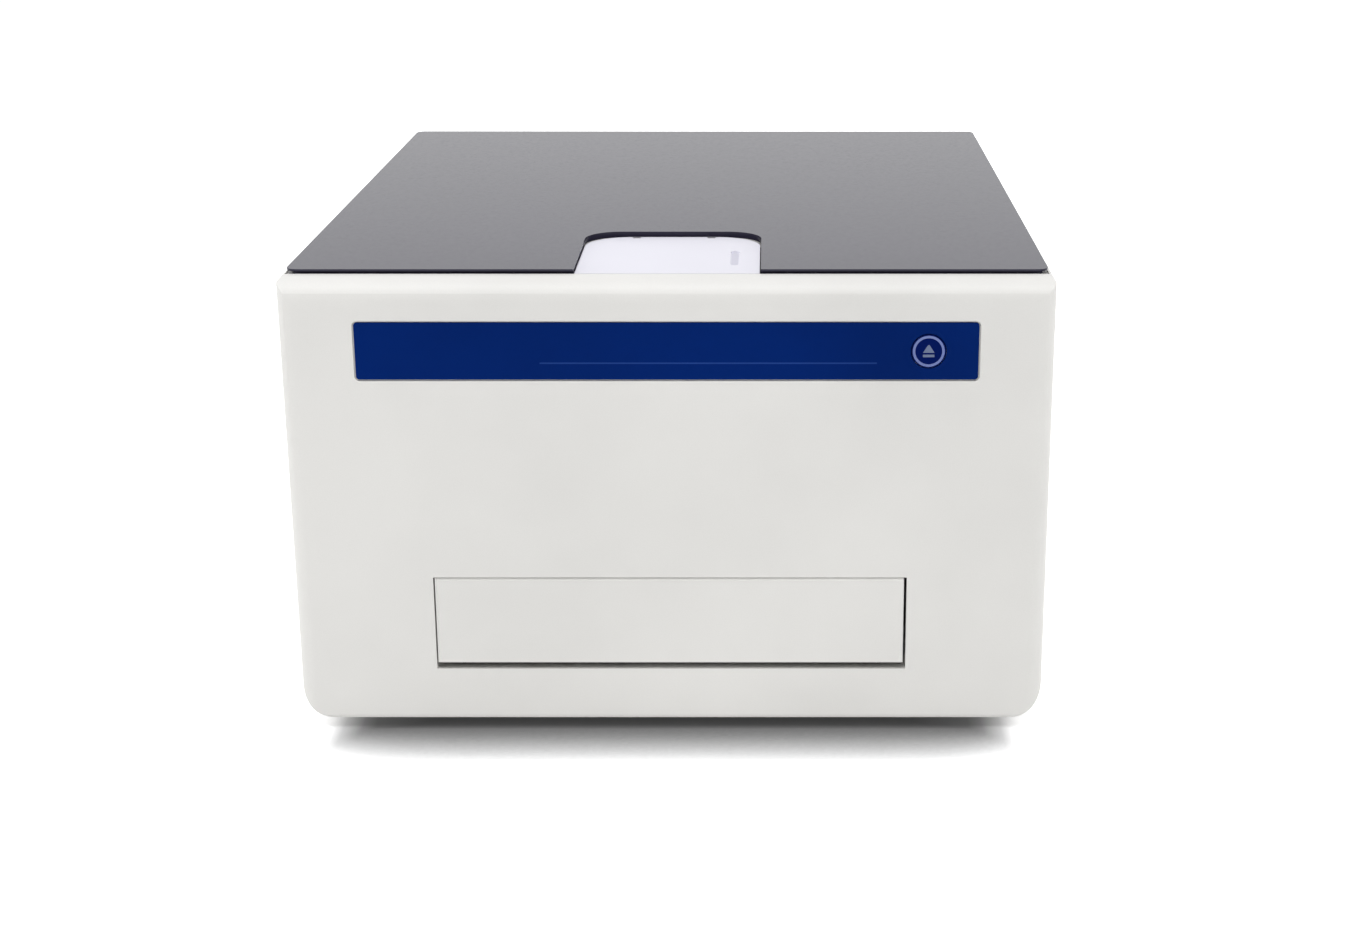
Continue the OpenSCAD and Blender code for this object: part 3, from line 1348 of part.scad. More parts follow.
module filter_wheel() color("#5b5d63") {
  difference() {
    union() {
      bar_x([wheel_x, wheel_y, beam_z], wheel_t, wheel_d / 2);
      bar_x([wheel_x - 2, wheel_y, beam_z], wheel_t + 4, 5);
    }
    for (k = [0:filters - 1]) rotate_about_x(k * 360 / filters)
      bar_x([wheel_x - over, wheel_y + wheel_pitch, beam_z], wheel_t + 2 * over, 5);
  }
  bar_x([wheel_x - 2, wheel_y, beam_z], wheel_t + 14, 2);
}

module filter_discs() color("#7fb2c9") {
  for (k = [1:filters - 1]) rotate_about_x(k * 360 / filters)
    bar_x([wheel_x + 0.5, wheel_y + wheel_pitch, beam_z], wheel_t - 1, 5 - pin_gap);
}

module rotate_about_x(a) {
  translate([0, wheel_y, beam_z]) rotate([a, 0, 0]) translate([0, -wheel_y, -beam_z]) children();
}

module lamp_housing() color("#4a4b50") {
  z1 = beam_z + lamp_hy;
  fin_gap = lamp_l / fins;
  fin_span = [0.25, 0.65];
  fin_h = 6;
  light_out_r = 5;
  difference() {
    union() {
      block([lamp_x0, beam_y - lamp_hy, deck_top], [lamp_x0 + lamp_l, beam_y + lamp_hy, z1 - fin_h]);
      for (k = [0:fins - 1])
        block([lamp_x0 + (k + fin_span[0]) * fin_gap, beam_y - lamp_hy, z1 - fin_h - 1],
              [lamp_x0 + (k + fin_span[1]) * fin_gap, beam_y + lamp_hy, z1 + fin_h]);
    }
    bar_x([lamp_x0 + 8, beam_y, beam_z], lamp_l - 4, lamp_bore);
    bar_x([lamp_x0 - over, beam_y, beam_z], 12, light_out_r);
  }
}

module flash_lamp() color("#dfe6ea") {
  bulb_x = lamp_x0 + 14;
  bulb_l = 22;
  bulb_r = 10;
  bar_x([bulb_x, beam_y, beam_z], bulb_l, bulb_r);
  bar_x([bulb_x + bulb_l, beam_y, beam_z], lamp_l - 38, lamp_bore - fit_gap);
}

// ---------------------------------------------------------------- power and boards

module power_supply() color("#c9cbcd") {
  x0 = supply_x[0];
  x1 = supply_x[1];
  y0 = supply_y[0];
  y1 = supply_y[1];
  z0 = floor_z + supply_foot;
  z1 = z0 + supply_h;
  t = 1.2;
  inset = 6;
  slots = 10;
  slot_step = (y1 - y0 - 30) / slots;
  pcb_z = z0 + 6;
  tall_y0 = y0 + 38;
  tall_z1 = z1 - 8;
  for (x = [x0 + inset, x1 - inset], y = [y0 + inset, y1 - inset])
    bar_z([x, y, floor_z], supply_foot + t / 2, 4);
  difference() {
    block([x0, y0, z0], [x1, y1, z1]);
    block([x0 + t, y0 + t, z0 + t], [x1 - t, y1 - t, z1 - t]);
    for (k = [0:slots - 1], x = [-1, 1])
      translate([(x0 + x1) / 2 + x * 22, y0 + 14 + k * slot_step, z1 - t - over])
        linear_extrude(t + 2 * over) slot(32, 4);
  }
  // board, capacitors, transformer and heat sink that show through the slots
  block([x0 + t, y0 + inset, pcb_z], [x1 - t, y1 - inset, pcb_z + board_t]);
  for (k = [-1, 1]) bar_z([(x0 + x1) / 2 + k * 14, y0 + 26, pcb_z], 26, 9);
  block([x0 + 22, tall_y0, pcb_z], [x0 + 58, tall_y0 + 34, tall_z1]);
  block([x1 - 26, tall_y0, pcb_z], [x1 - 20, y1 - 24, tall_z1]);
}

// Three flat tabs in a row at the back of an inlet or a switch
module tabs(x, y0, pitch) {
  tab = [4.8, 8, 0.8];
  for (k = [-1:1])
    translate([x + k * pitch - tab[0] / 2, y0 + 1 - tab[1], socket_z - tab[2] / 2]) cube(tab);
}

module power_inlet() color("#1f1f21") {
  y0 = rear_y - inlet[2];
  rim = 2;
  mouth = [12, 8.2];
  corner = [4, 4.2];
  mouth_d = 16;
  pin_hx = 1;
  pin_hz = 2;
  difference() {
    union() {
      block([inlet_x - inlet[0] / 2, y0, socket_z - inlet[1] / 2],
            [inlet_x + inlet[0] / 2, rear_y, socket_z + inlet[1] / 2]);
      translate([inlet_x, 0, socket_z]) along_y(rear_y, rear_y + 1.6)
        round_rect(inlet[0] + 2 * rim, inlet[1] + 2 * rim, rim);
    }
    translate([inlet_x, 0, socket_z]) along_y(rear_y - mouth_d, rear_y + 2)
      polygon([[-mouth[0], -mouth[1]], [mouth[0], -mouth[1]],
               [mouth[0], mouth[1] - corner[1]], [mouth[0] - corner[0], mouth[1]],
               [corner[0] - mouth[0], mouth[1]], [-mouth[0], mouth[1] - corner[1]]]);
  }
  for (p = [[0, 3], [-7, -1.5], [7, -1.5]])
    block([inlet_x + p[0] - pin_hx, rear_y - mouth_d - 1, socket_z + p[1] - pin_hz],
          [inlet_x + p[0] + pin_hx, rear_y - 1, socket_z + p[1] + pin_hz]);
  tabs(inlet_x, y0, 7);
}

module switch_body() color("#1b1b1d") {
  y0 = rear_y - switch_d;
  rim = 1.5;
  difference() {
    union() {
      block([rocker_x - switch_hx, y0, socket_z - switch_hz],
            [rocker_x + switch_hx, rear_y, socket_z + switch_hz]);
      translate([rocker_x, 0, socket_z]) along_y(rear_y, rear_y + 1.2)
        round_rect(2 * switch_hx + 2 * rim, 2 * switch_hz + 2 * rim, rim);
    }
    block([rocker_x - rocker[0] / 2, rocker_axis_y - 6, socket_z - rocker[1] / 2],
          [rocker_x + rocker[0] / 2, back, socket_z + rocker[1] / 2]);
    for (s = [-1, 1]) translate([rocker_x, rocker_axis_y, socket_z + s * rocker[1] / 2])
      rotate([s < 0 ? 180 : 0, 0, 0]) translate([0, 0, -over])
      cylinder(r = rocker_pin_r + pin_gap, h = over + rocker_pin_l);
  }
  tabs(rocker_x, y0, 6);
}

module power_rocker() color("#232325") {
  hl = rocker[0] / 2 - 0.7;
  hz = rocker[1] / 2 - 0.5;
  translate([rocker_x, rocker_axis_y, socket_z]) {
    // two flats that meet in a shallow V over the pivot, tipped to one side
    rotate(rocker_tilt) translate([0, 0, -hz]) linear_extrude(2 * hz)
      polygon([[-hl, -3], [hl, -3], [hl, rocker_v + hl * tan(rocker_tilt)], [0, rocker_v],
               [-hl, rocker_v + hl * tan(rocker_tilt)]]);
    translate([0, 0, -rocker[1] / 2 - rocker_pin_l + 0.2])
      cylinder(r = rocker_pin_r, h = rocker[1] + 2 * rocker_pin_l - 0.4);
  }
}

module usb_ports() color("#c5c8cb") {
  y1 = rear_y + 0.6;
  z0 = board_z + board_t;
  for (x = usb_x) difference() {
    block([x - usb_size[0] / 2, y1 - usb_size[1], z0 + fit_gap / 2],
          [x + usb_size[0] / 2, y1, z0 + usb_size[2]]);
    block([x - usb_size[0] / 2 + usb_side, y1 - usb_socket_d, z0 + usb_floor],
          [x + usb_size[0] / 2 - usb_side, y1 + over, z0 + usb_size[2] - usb_roof]);
  }
}

module main_board() color("#1f6b3a") {
  z1 = board_z + board_t;
  block([board_x[0], board_y[0], board_z], [board_x[1], board_y[1], z1]);
  for (x = [board_x[0] + 6, board_x[1] - 6], y = [board_y[0] + 6, board_y[1] - 12])
    bar_z([x, y, floor_z], board_z - floor_z, post_r);
  // processor, memory and plug strip: where each lies from the board's corner, and its size
  chips = [[-114, 30], [-74, 26], [-48, 20]];
  chip_sizes = [[22, 22, 1.6], [14, 14, 1.2], [4, 40, 5]];
  for (k = [0:2]) translate([board_x[1] + chips[k][0], board_y[0] + chips[k][1], z1]) cube(chip_sizes[k]);
  // capacitors in a row
  for (k = [0:3]) bar_z([board_x[0] + 30 + k * 9, board_y[0] + 12, z1], 8, 3);
}

module cooling_fan() color("#2a2a2c") {
  y1 = rear_y - rear_t;
  y0 = y1 - fan_t;
  bore = fan_w / 2 - 1.5;
  corner = fan_w / 2 - 4.6;
  hole_r = 2.1;
  mount_t = 3;
  arm_hw = 1.2;
  translate([fan_x, 0, fan_z]) {
    difference() {
      along_y(y0, y1) round_rect(fan_w, fan_w, 3);
      bar_y([0, y0 - over, 0], fan_t + 2 * over, bore);
      for (x = [-1, 1], z = [-1, 1])
        bar_y([x * corner, y0 - over, z * corner], fan_t + 2 * over, hole_r);
    }
    // motor mount on four arms
    difference() {
      union() {
        bar_y([0, y0, 0], mount_t, fan_w * 0.2);
        for (a = [45:90:315]) rotate([0, a, 0]) block([-arm_hw, y0, 0], [arm_hw, y0 + 2, bore + 1]);
      }
      bar_y([0, y0 - over, 0], mount_t + 2 * over, 1.5 + pin_gap);
    }
  }
}

module fan_rotor() color("#343436") {
  y0 = rear_y - rear_t - fan_t + 3 + slide_gap;
  l = fan_t - 3 - 2 * slide_gap;
  tip = fan_w / 2 - 2.6;
  hub = fan_w * 0.2;
  translate([fan_x, 0, fan_z]) {
    bar_y([0, y0, 0], l, hub);
    bar_y([0, y0 - 2.5, 0], l, 1.5);
    for (k = [0:fan_blades - 1]) rotate([0, k * 360 / fan_blades, 0])
      translate([0, y0 + l / 2, 0]) rotate([0, 0, 38])
        block([-l * 0.55, -0.6, hub - 2], [l * 0.55, 0.6, tip - 1.5]);
  }
}

module wiring_harness() color("#3b3b3e") {
  tube(mains_route, cable_r);
  tube(power_route, cable_r);
  tube(button_route, cable_r);
}

// ---------------------------------------------------------------- what is drawn

front_bezel();
housing_shell();
top_panel();
base_pan();
rear_panel();
overlay_strip();
rubber_feet();
fasteners();
cuvette_well();
cuvette_block();
cuvette_bracket();
lid_hinge_pins();
cuvette_lid();
lid_seal();
eject_button();
button_board();
outer_rails();
rail_brackets();
drawer_motor();
motor_plate();
drawer_pinion();
drawer_front();
drawer_tray();
inner_rails();
drawer_rack();
carriage_rods();
rod_blocks();
carriage_motor();
belt_brackets();
carriage_belt();
drive_pulley();
idler_pulley();
plate_carriage();
carriage_bushes();
plate_lever();
optics_deck();
deck_pillars();
read_head();
optical_lenses();
fibre_bundle();
detector_block();
detector_board();
mono_base();
mono_cover();
mono_mirrors();
grating();
optics_motors();
filter_wheel();
filter_discs();
lamp_housing();
flash_lamp();
power_supply();
power_inlet();
switch_body();
power_rocker();
main_board();
usb_ports();
cooling_fan();
fan_rotor();
wiring_harness();
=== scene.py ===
"""Looks of a bench-top microplate reader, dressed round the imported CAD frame.

Metres, +Z up, the front faces -Y. The small pieces are drawn in millimetres.
"""
import json
import math

import bmesh
import bpy
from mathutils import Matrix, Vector


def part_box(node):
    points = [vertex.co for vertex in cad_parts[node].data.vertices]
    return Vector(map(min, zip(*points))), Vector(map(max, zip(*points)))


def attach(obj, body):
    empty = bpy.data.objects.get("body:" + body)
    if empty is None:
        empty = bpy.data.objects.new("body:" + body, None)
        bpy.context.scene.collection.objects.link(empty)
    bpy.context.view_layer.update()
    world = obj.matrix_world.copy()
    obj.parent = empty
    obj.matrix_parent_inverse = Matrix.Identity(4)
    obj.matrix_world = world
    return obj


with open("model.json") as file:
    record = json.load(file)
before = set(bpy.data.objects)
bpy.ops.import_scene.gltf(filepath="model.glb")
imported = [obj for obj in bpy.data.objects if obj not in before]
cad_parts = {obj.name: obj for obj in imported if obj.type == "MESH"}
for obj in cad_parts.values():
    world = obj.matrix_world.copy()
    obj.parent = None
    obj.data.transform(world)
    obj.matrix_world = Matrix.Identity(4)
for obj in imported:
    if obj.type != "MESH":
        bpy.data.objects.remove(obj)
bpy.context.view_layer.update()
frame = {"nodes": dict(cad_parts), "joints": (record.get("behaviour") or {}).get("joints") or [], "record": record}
nodes = frame["nodes"]
scene = bpy.context.scene
MM = 0.001

# ---------------------------------------------------------------- camera

CAMERA_AT = (0.0459, -1.1319, 0.4324)
PITCH_DEG = 17.02
LENS_MM = 57.59
SENSOR_MM = 36
LENS_SHIFT = (-0.0700, -0.0296)
CLIP = (0.05, 30)

camera_data = bpy.data.cameras.new("photo_camera")
camera_data.sensor_width = SENSOR_MM
camera_data.lens = LENS_MM
camera_data.shift_x, camera_data.shift_y = LENS_SHIFT
camera_data.clip_start, camera_data.clip_end = CLIP
camera = bpy.data.objects.new("photo_camera", camera_data)
camera.location = CAMERA_AT
camera.rotation_euler = (math.radians(90 - PITCH_DEG), 0, 0)
scene.collection.objects.link(camera)
scene.camera = camera

# ---------------------------------------------------------------- node helpers


class Tree:
    """A short way to write nodes. A socket takes a number, a colour or another node's output."""

    def __init__(self, owner, output):
        self.owner = owner
        owner.use_nodes = True
        self.nodes = owner.node_tree.nodes
        self.links = owner.node_tree.links
        self.nodes.clear()
        self.surface = self.nodes.new(output).inputs["Surface"]

    def set(self, socket, value):
        if isinstance(value, bpy.types.NodeSocket):
            self.links.new(value, socket)
        elif socket.type == "RGBA":
            socket.default_value = (*value, 1.0)
        else:
            socket.default_value = value

    def fill(self, node, **sockets):
        """Sets a node's inputs by name, with an underscore for a space."""
        for name, value in sockets.items():
            self.set(node.inputs[name.replace("_", " ")], value)
        return node

    def add(self, kind, **sockets):
        return self.fill(self.nodes.new(kind), **sockets)

    def math(self, kind, a, b=0.0):
        node = self.nodes.new("ShaderNodeMath")
        node.operation = kind
        self.set(node.inputs[0], a)
        self.set(node.inputs[1], b)
        return node.outputs[0]

    def ramp(self, value, low, high, out_low=0.0, out_high=1.0):
        """Maps low..high to out_low..out_high, clamped."""
        node = self.add("ShaderNodeMapRange", Value=value, From_Min=low, From_Max=high,
                        To_Min=out_low, To_Max=out_high)
        return node.outputs[0]

    def mix(self, factor, a, b, kind="MIX"):
        """Mixes two colours, which are this node's inputs 6 and 7 and its output 2."""
        node = self.nodes.new("ShaderNodeMix")
        node.data_type = "RGBA"
        node.blend_type = kind
        self.set(node.inputs["Factor"], factor)
        self.set(node.inputs[6], a)
        self.set(node.inputs[7], b)
        return node.outputs[2]

    def mix_shader(self, factor, a, b):
        node = self.add("ShaderNodeMixShader", Fac=factor)
        self.set(node.inputs[1], a)
        self.set(node.inputs[2], b)
        return node.outputs[0]

    def straight_rays(self):
        """1 for a ray that the camera, a mirror or a clear pane sends, 0 for one that only carries light."""
        path = self.nodes.new("ShaderNodeLightPath").outputs
        seen = self.math("MAXIMUM", path["Is Camera Ray"], path["Is Glossy Ray"])
        return self.math("MAXIMUM", seen, path["Is Transmission Ray"])


class Material(Tree):
    """A material's nodes round one Principled shader. The point is in metres, in the CAD's frame."""

    def __init__(self, name):
        super().__init__(bpy.data.materials.new(name), "ShaderNodeOutputMaterial")
        self.point = self.nodes.new("ShaderNodeTexCoord").outputs["Object"]
        self.bsdf = self.nodes.new("ShaderNodeBsdfPrincipled")
        self.set(self.surface, self.bsdf.outputs[0])

    def scaled(self, factors):
        """The point, multiplied along each axis: a small factor draws a pattern out along that axis."""
        return self.add("ShaderNodeMapping", Vector=self.point, Scale=factors).outputs[0]

    def noise(self, scale, detail=2.0, rough=0.5, vector=None):
        node = self.add("ShaderNodeTexNoise", Vector=vector or self.point, Scale=scale,
                        Detail=detail, Roughness=rough)
        return node.outputs[0]

    def cells(self, scale, feature="F1", vector=None):
        node = self.add("ShaderNodeTexVoronoi", Vector=vector or self.point, Scale=scale)
        node.feature = feature
        return node.outputs["Distance"]

    def bump(self, height, strength, distance):
        return self.add("ShaderNodeBump", Height=height, Strength=strength, Distance=distance).outputs[0]

    def finish(self, color, rough, normal=None, **sockets):
        """Fills the shader's sockets and gives the material."""
        self.fill(self.bsdf, Base_Color=color, Roughness=rough, **sockets)
        if normal is not None:
            self.fill(self.bsdf, Normal=normal)
        return self.owner


def srgb(*levels):
    """A colour given as 0..255 screen values, in linear light."""
    return tuple((c / 255 / 12.92) if c <= 10 else ((c / 255 + 0.055) / 1.055) ** 2.4 for c in levels)


def shade(color, factor):
    return tuple(min(1.0, c * factor) for c in color)


# ---------------------------------------------------------------- materials

# the parts of a noise's range, about its middle, that a ramp spreads out
WIDE = (0.3, 0.7)
NARROW = (0.35, 0.65)
# and the part of a cell's distance
CELL = (0.0, 0.6)


def moulded(name, color, grain=0.04, rough=0.42, fine=2600, mottle=0.03, specular=0.5):
    """Satin moulded plastic: spark-eroded grain, and a slow drift of tone."""
    t = Material(name)
    drift = t.ramp(t.noise(9, detail=3, rough=0.55), *NARROW, 1 - mottle, 1 + mottle)
    speck = t.ramp(t.noise(fine * 0.6, rough=0.7), *WIDE, 0.985, 1.012)
    tone = t.math("MULTIPLY", drift, speck)
    grey = t.nodes.new("ShaderNodeCombineColor")
    for channel in grey.inputs:
        t.set(channel, tone)
    tint = t.mix(1.0, color, grey.outputs[0], "MULTIPLY")
    gloss = t.ramp(t.noise(fine * 0.3, detail=4, rough=0.6), *WIDE, rough - 0.05, rough + 0.06)
    normal = t.bump(t.noise(fine, rough=0.6), strength=grain, distance=0.00012)
    return t.finish(tint, gloss, normal, IOR=1.5, Specular_IOR_Level=specular)


def sheet_metal(name, color, rough, stretch, metal=1.0, scratch=0.35, grain=0.05):
    """Rolled or brushed metal: fine lines along the stretched axis, and a cloudy gloss."""
    t = Material(name)
    lines = t.noise(500, detail=4, rough=0.6, vector=t.scaled(stretch))
    cloud = t.noise(14, detail=4, rough=0.6)
    tint = t.mix(t.ramp(cloud, *WIDE), shade(color, 0.88), shade(color, 1.06))
    tint = t.mix(t.ramp(lines, *NARROW, 0.0, scratch), tint, shade(color, 0.72))
    both = t.math("ADD", t.math("MULTIPLY", lines, 0.5), t.math("MULTIPLY", cloud, 0.5))
    gloss = t.ramp(both, *NARROW, rough - 0.1, rough + 0.12)
    return t.finish(tint, gloss, t.bump(lines, strength=grain, distance=0.0002), Metallic=metal)


def galvanised(name, color):
    """Zinc-plated sheet: a faint pattern of crystals over a cloudy gloss."""
    t = Material(name)
    spangle = t.cells(420)
    cloud = t.noise(22, detail=4, rough=0.6)
    tint = t.mix(t.ramp(spangle, *CELL, 0.0, 0.5), shade(color, 1.03), shade(color, 0.9))
    tint = t.mix(t.ramp(cloud, *WIDE, 0.0, 0.35), tint, shade(color, 0.7))
    gloss = t.ramp(spangle, *CELL, 0.36, 0.44)
    normal = t.bump(t.noise(900, detail=3, rough=0.6), strength=0.08, distance=0.0002)
    return t.finish(tint, gloss, normal, Metallic=0.9)


def rubber(name, color):
    """Dull rubber with paler dust on it."""
    t = Material(name)
    dust = t.noise(60, detail=5, rough=0.65)
    tint = t.mix(t.ramp(dust, 0.45, 0.75, 0.0, 0.5), color, shade(color, 2.2))
    normal = t.bump(t.noise(1800, rough=0.6), strength=0.25, distance=0.0003)
    return t.finish(tint, t.ramp(dust, *WIDE, 0.7, 0.9), normal, IOR=1.52)


def foam(name, color):
    """Open-cell foam, with painted shade in its pits: each cell darker at its middle, paler at its walls."""
    t = Material(name)
    cells = t.cells(1500)
    # painted shade: the middle of each cell, low in the bump, is darkened
    tint = t.mix(t.ramp(cells, *CELL), shade(color, 0.5), shade(color, 1.8))
    return t.finish(tint, 0.95, t.bump(cells, strength=0.8, distance=0.0006))


def belt_rubber(name, color):
    """Ribs across a toothed belt. At scale 1 a wave texture repeats each 2 pi / 20."""
    rib_pitch = 0.002
    t = Material(name)
    ribs = t.add("ShaderNodeTexWave", Vector=t.point, Scale=2 * math.pi / 20 / rib_pitch, Distortion=0)
    ribs.wave_type = "BANDS"
    ribs.bands_direction = "X"
    tint = t.mix(t.ramp(t.noise(300, detail=3), *WIDE), shade(color, 0.8), shade(color, 1.7))
    gloss = t.ramp(t.noise(200, detail=3), *WIDE, 0.55, 0.75)
    return t.finish(tint, gloss, t.bump(ribs.outputs["Fac"], strength=0.6, distance=0.0004))


def circuit(name, color):
    """Solder mask over tracks and tinned pads, the same through the board's thickness."""
    pad_tin = srgb(196, 190, 170)
    t = Material(name)
    flat = t.scaled((1, 1, 0.001))
    track = t.ramp(t.cells(170, "DISTANCE_TO_EDGE", flat), 0.03, 0.05, 1.0, 0.0)
    pad = t.ramp(t.cells(420, vector=flat), 0.12, 0.16, 1.0, 0.0)
    base = t.mix(t.ramp(t.noise(1500), *WIDE), shade(color, 0.85), shade(color, 1.15))
    base = t.mix(t.math("MULTIPLY", track, 0.7), base, shade(color, 2.2))
    base = t.mix(pad, base, pad_tin)
    normal = t.bump(t.math("ADD", track, pad), strength=0.25, distance=0.0002)
    return t.finish(base, t.ramp(pad, 0, 1, 0.32, 0.25), normal, Metallic=t.math("MULTIPLY", pad, 0.8))


def glass(name, color, rough=0.04):
    """Clear or tinted glass with a faint smear."""
    t = Material(name)
    smear = t.noise(80, detail=4, rough=0.6)
    tint = t.mix(t.ramp(smear, 0.4, 0.7), color, shade(color, 0.96))
    gloss = t.ramp(smear, 0.35, 0.7, rough, rough + 0.05)
    return t.finish(tint, gloss, Transmission_Weight=0.9, IOR=1.5)


def grooved(name, sheen_first, second):
    """Ruled face of a grating: fine vertical lines, and a painted sheen that shifts between two colours in place
    of the colours its grooves throw back.
    """
    t = Material(name)
    lines = t.noise(2500, detail=1, vector=t.scaled((1, 0.02, 0.02)))
    painted_sheen_sweep = t.noise(45, vector=t.scaled((1, 0.2, 0.4)))
    # painted sheen: the two colours stand in for light split by the grooves
    tint = t.mix(t.ramp(painted_sheen_sweep, *WIDE), sheen_first, second)
    normal = t.bump(lines, strength=0.2, distance=0.0001)
    return t.finish(tint, 0.16, normal, Metallic=1.0, Anisotropic=0.6)


def sheathing(name, color):
    """Braided sleeve: a fine diamond weave."""
    t = Material(name)
    weave = t.cells(900)
    tint = t.mix(t.ramp(weave, 0.1, 0.6), shade(color, 1.7), shade(color, 0.6))
    return t.finish(tint, 0.6, t.bump(weave, strength=0.5, distance=0.0004))


WHITE = srgb(228, 227, 223)
LID_WHITE = srgb(228, 227, 236)
GREY = srgb(48, 46, 63)
BLUE = srgb(0, 34, 102)
BUTTON_BLUE = srgb(0, 22, 90)
EVEN = (1, 1, 1)

# each material slot's kind of finish, its colour and its settings
FINISHES = {
    "case_white": (moulded, WHITE, {}),
    "lid_white": (moulded, LID_WHITE, {"grain": 0.03, "rough": 0.36}),
    "top_grey": (moulded, GREY,
                 {"grain": 0.02, "rough": 0.14, "fine": 1500, "mottle": 0.04, "specular": 0.18}),
    "strip_blue": (moulded, BLUE, {"grain": 0.02, "rough": 0.45, "mottle": 0.1, "specular": 0.03}),
    "button_blue": (moulded, BUTTON_BLUE, {"grain": 0.02, "rough": 0.45, "mottle": 0.1, "specular": 0.03}),
    "foot_rubber": (rubber, srgb(38, 38, 40), {}),
    "seal_foam": (foam, srgb(30, 30, 32), {}),
    "belt_black": (belt_rubber, srgb(30, 30, 31), {}),
    "sheet_steel": (galvanised, srgb(186, 188, 190), {}),
    "rail_steel": (sheet_metal, srgb(170, 172, 176), {"rough": 0.32, "stretch": (1, 0.03, 1)}),
    "screw_steel": (sheet_metal, srgb(150, 151, 153), {"rough": 0.34, "stretch": EVEN}),
    "bright_steel": (sheet_metal, srgb(206, 208, 210), {"rough": 0.2, "stretch": (0.05, 1, 1)}),
    "black_plastic": (moulded, srgb(36, 36, 39), {"grain": 0.14, "rough": 0.5, "fine": 1700, "mottle": 0.08}),
    "tray_grey": (moulded, srgb(78, 79, 84), {"grain": 0.14, "rough": 0.5, "fine": 1700, "mottle": 0.06}),
    "black_aluminium": (sheet_metal, srgb(48, 49, 53),
                        {"rough": 0.45, "stretch": EVEN, "metal": 0.65, "scratch": 0.15, "grain": 0.08}),
    "bare_aluminium": (sheet_metal, srgb(190, 192, 196), {"rough": 0.4, "stretch": (1, 0.04, 1)}),
    "motor_can": (sheet_metal, srgb(140, 142, 146), {"rough": 0.36, "stretch": (0.04, 1, 1)}),
    "bronze": (sheet_metal, srgb(176, 138, 84), {"rough": 0.42, "stretch": EVEN}),
    "rack_cream": (moulded, srgb(226, 219, 198), {"grain": 0.08, "rough": 0.45}),
    "board_green": (circuit, srgb(24, 92, 52), {}),
    "clear_glass": (glass, (0.93, 0.97, 0.98), {}),
    "lamp_glass": (glass, (0.95, 0.95, 0.93), {"rough": 0.1}),
    "mirror_face": (sheet_metal, srgb(226, 230, 234),
                    {"rough": 0.14, "stretch": EVEN, "scratch": 0.05, "grain": 0.0}),
    # the grating's two colours are a painted sheen
    "grating_face": (grooved, srgb(176, 160, 220), {"second": srgb(120, 190, 180)}),
    "filter_glass": (glass, (0.25, 0.5, 0.62), {"rough": 0.06}),
    "cable_sheath": (sheathing, srgb(52, 52, 55), {}),
    "supply_case": (sheet_metal, srgb(196, 198, 200), {"rough": 0.4, "stretch": (1, 1, 0.04)}),
}
slot_materials = {slot: kind(slot, color, **settings) for slot, (kind, color, settings) in FINISHES.items()}

for part in frame["record"]["subparts"]:
    node = nodes[part["node"]]
    node.data.materials.clear()
    node.data.materials.append(slot_materials[part["material_slot"]])

# ---------------------------------------------------------------- edges

WELD_MM = 0.002
EDGE_SEGMENTS = 2
EDGE_ANGLE_DEG = 40
EDGE_ROUNDS_MM = {
    "top_panel": 0.7, "cuvette_lid": 0.5, "drawer_front": 0.5, "overlay_strip": 0.12, "eject_button": 0.35,
    "front_bezel": 0.5, "housing_shell": 0.3, "rear_panel": 0.3, "rubber_feet": 0.8, "power_inlet": 0.4,
    "switch_body": 0.3, "drawer_tray": 0.3, "cuvette_well": 0.4, "power_rocker": 0.3, "cuvette_block": 0.3,
}


def soften(obj, width_mm):
    """A small round on a node's sharp edges, as a moulding or a folded sheet has."""
    weld = obj.modifiers.new("weld", "WELD")
    weld.merge_threshold = WELD_MM * MM
    bevel = obj.modifiers.new("edge_round", "BEVEL")
    bevel.width = width_mm * MM
    bevel.segments = EDGE_SEGMENTS
    bevel.limit_method = "ANGLE"
    bevel.angle_limit = math.radians(EDGE_ANGLE_DEG)
    bevel.use_clamp_overlap = True
    bevel.loop_slide = True
    normals = obj.modifiers.new("even_normals", "WEIGHTED_NORMAL")
    normals.keep_sharp = True


for name, width_mm in EDGE_ROUNDS_MM.items():
    soften(nodes[name], width_mm)

# ---------------------------------------------------------------- shapes of the small pieces

# All of these are in millimetres. A shape is its vertices and its faces.
SUNK = 0.02  # how far a raised piece starts below its surface
RING_SLOPE = 0.05
MERGE_M = 1e-7

# a face's own right and up, seen from outside
FRONT = ((1, 0, 0), (0, 0, 1))
BACK = ((-1, 0, 0), (0, 0, 1))
TOP = ((1, 0, 0), (0, 1, 0))
UNDERSIDE = ((1, 0, 0), (0, -1, 0))


def piece(name, shape, body, slot, material=None):
    """A closed mesh that rides on a body and takes its finish from a slot, or has its own material."""
    verts, faces = shape
    mesh = bpy.data.meshes.new(name)
    mesh.from_pydata([Vector(v) * MM for v in verts], [], faces)
    mesh.validate()
    work = bmesh.new()
    work.from_mesh(mesh)
    bmesh.ops.remove_doubles(work, verts=work.verts, dist=MERGE_M)
    bmesh.ops.recalc_face_normals(work, faces=work.faces)
    work.to_mesh(mesh)
    work.free()
    mesh.materials.append(material or slot_materials[slot])
    obj = bpy.data.objects.new(name, mesh)
    scene.collection.objects.link(obj)
    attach(obj, body)


def box_mm(name):
    """A node's lowest and highest corners."""
    return tuple(Vector(corner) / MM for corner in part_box(name))


def drawing_on(origin, right, up):
    """Turns coordinates in a face and a height over it into a point."""
    right, up = Vector(right), Vector(up)
    out = right.cross(up)
    return lambda u, v, h: tuple(Vector(origin) + right * u + up * v + out * h)


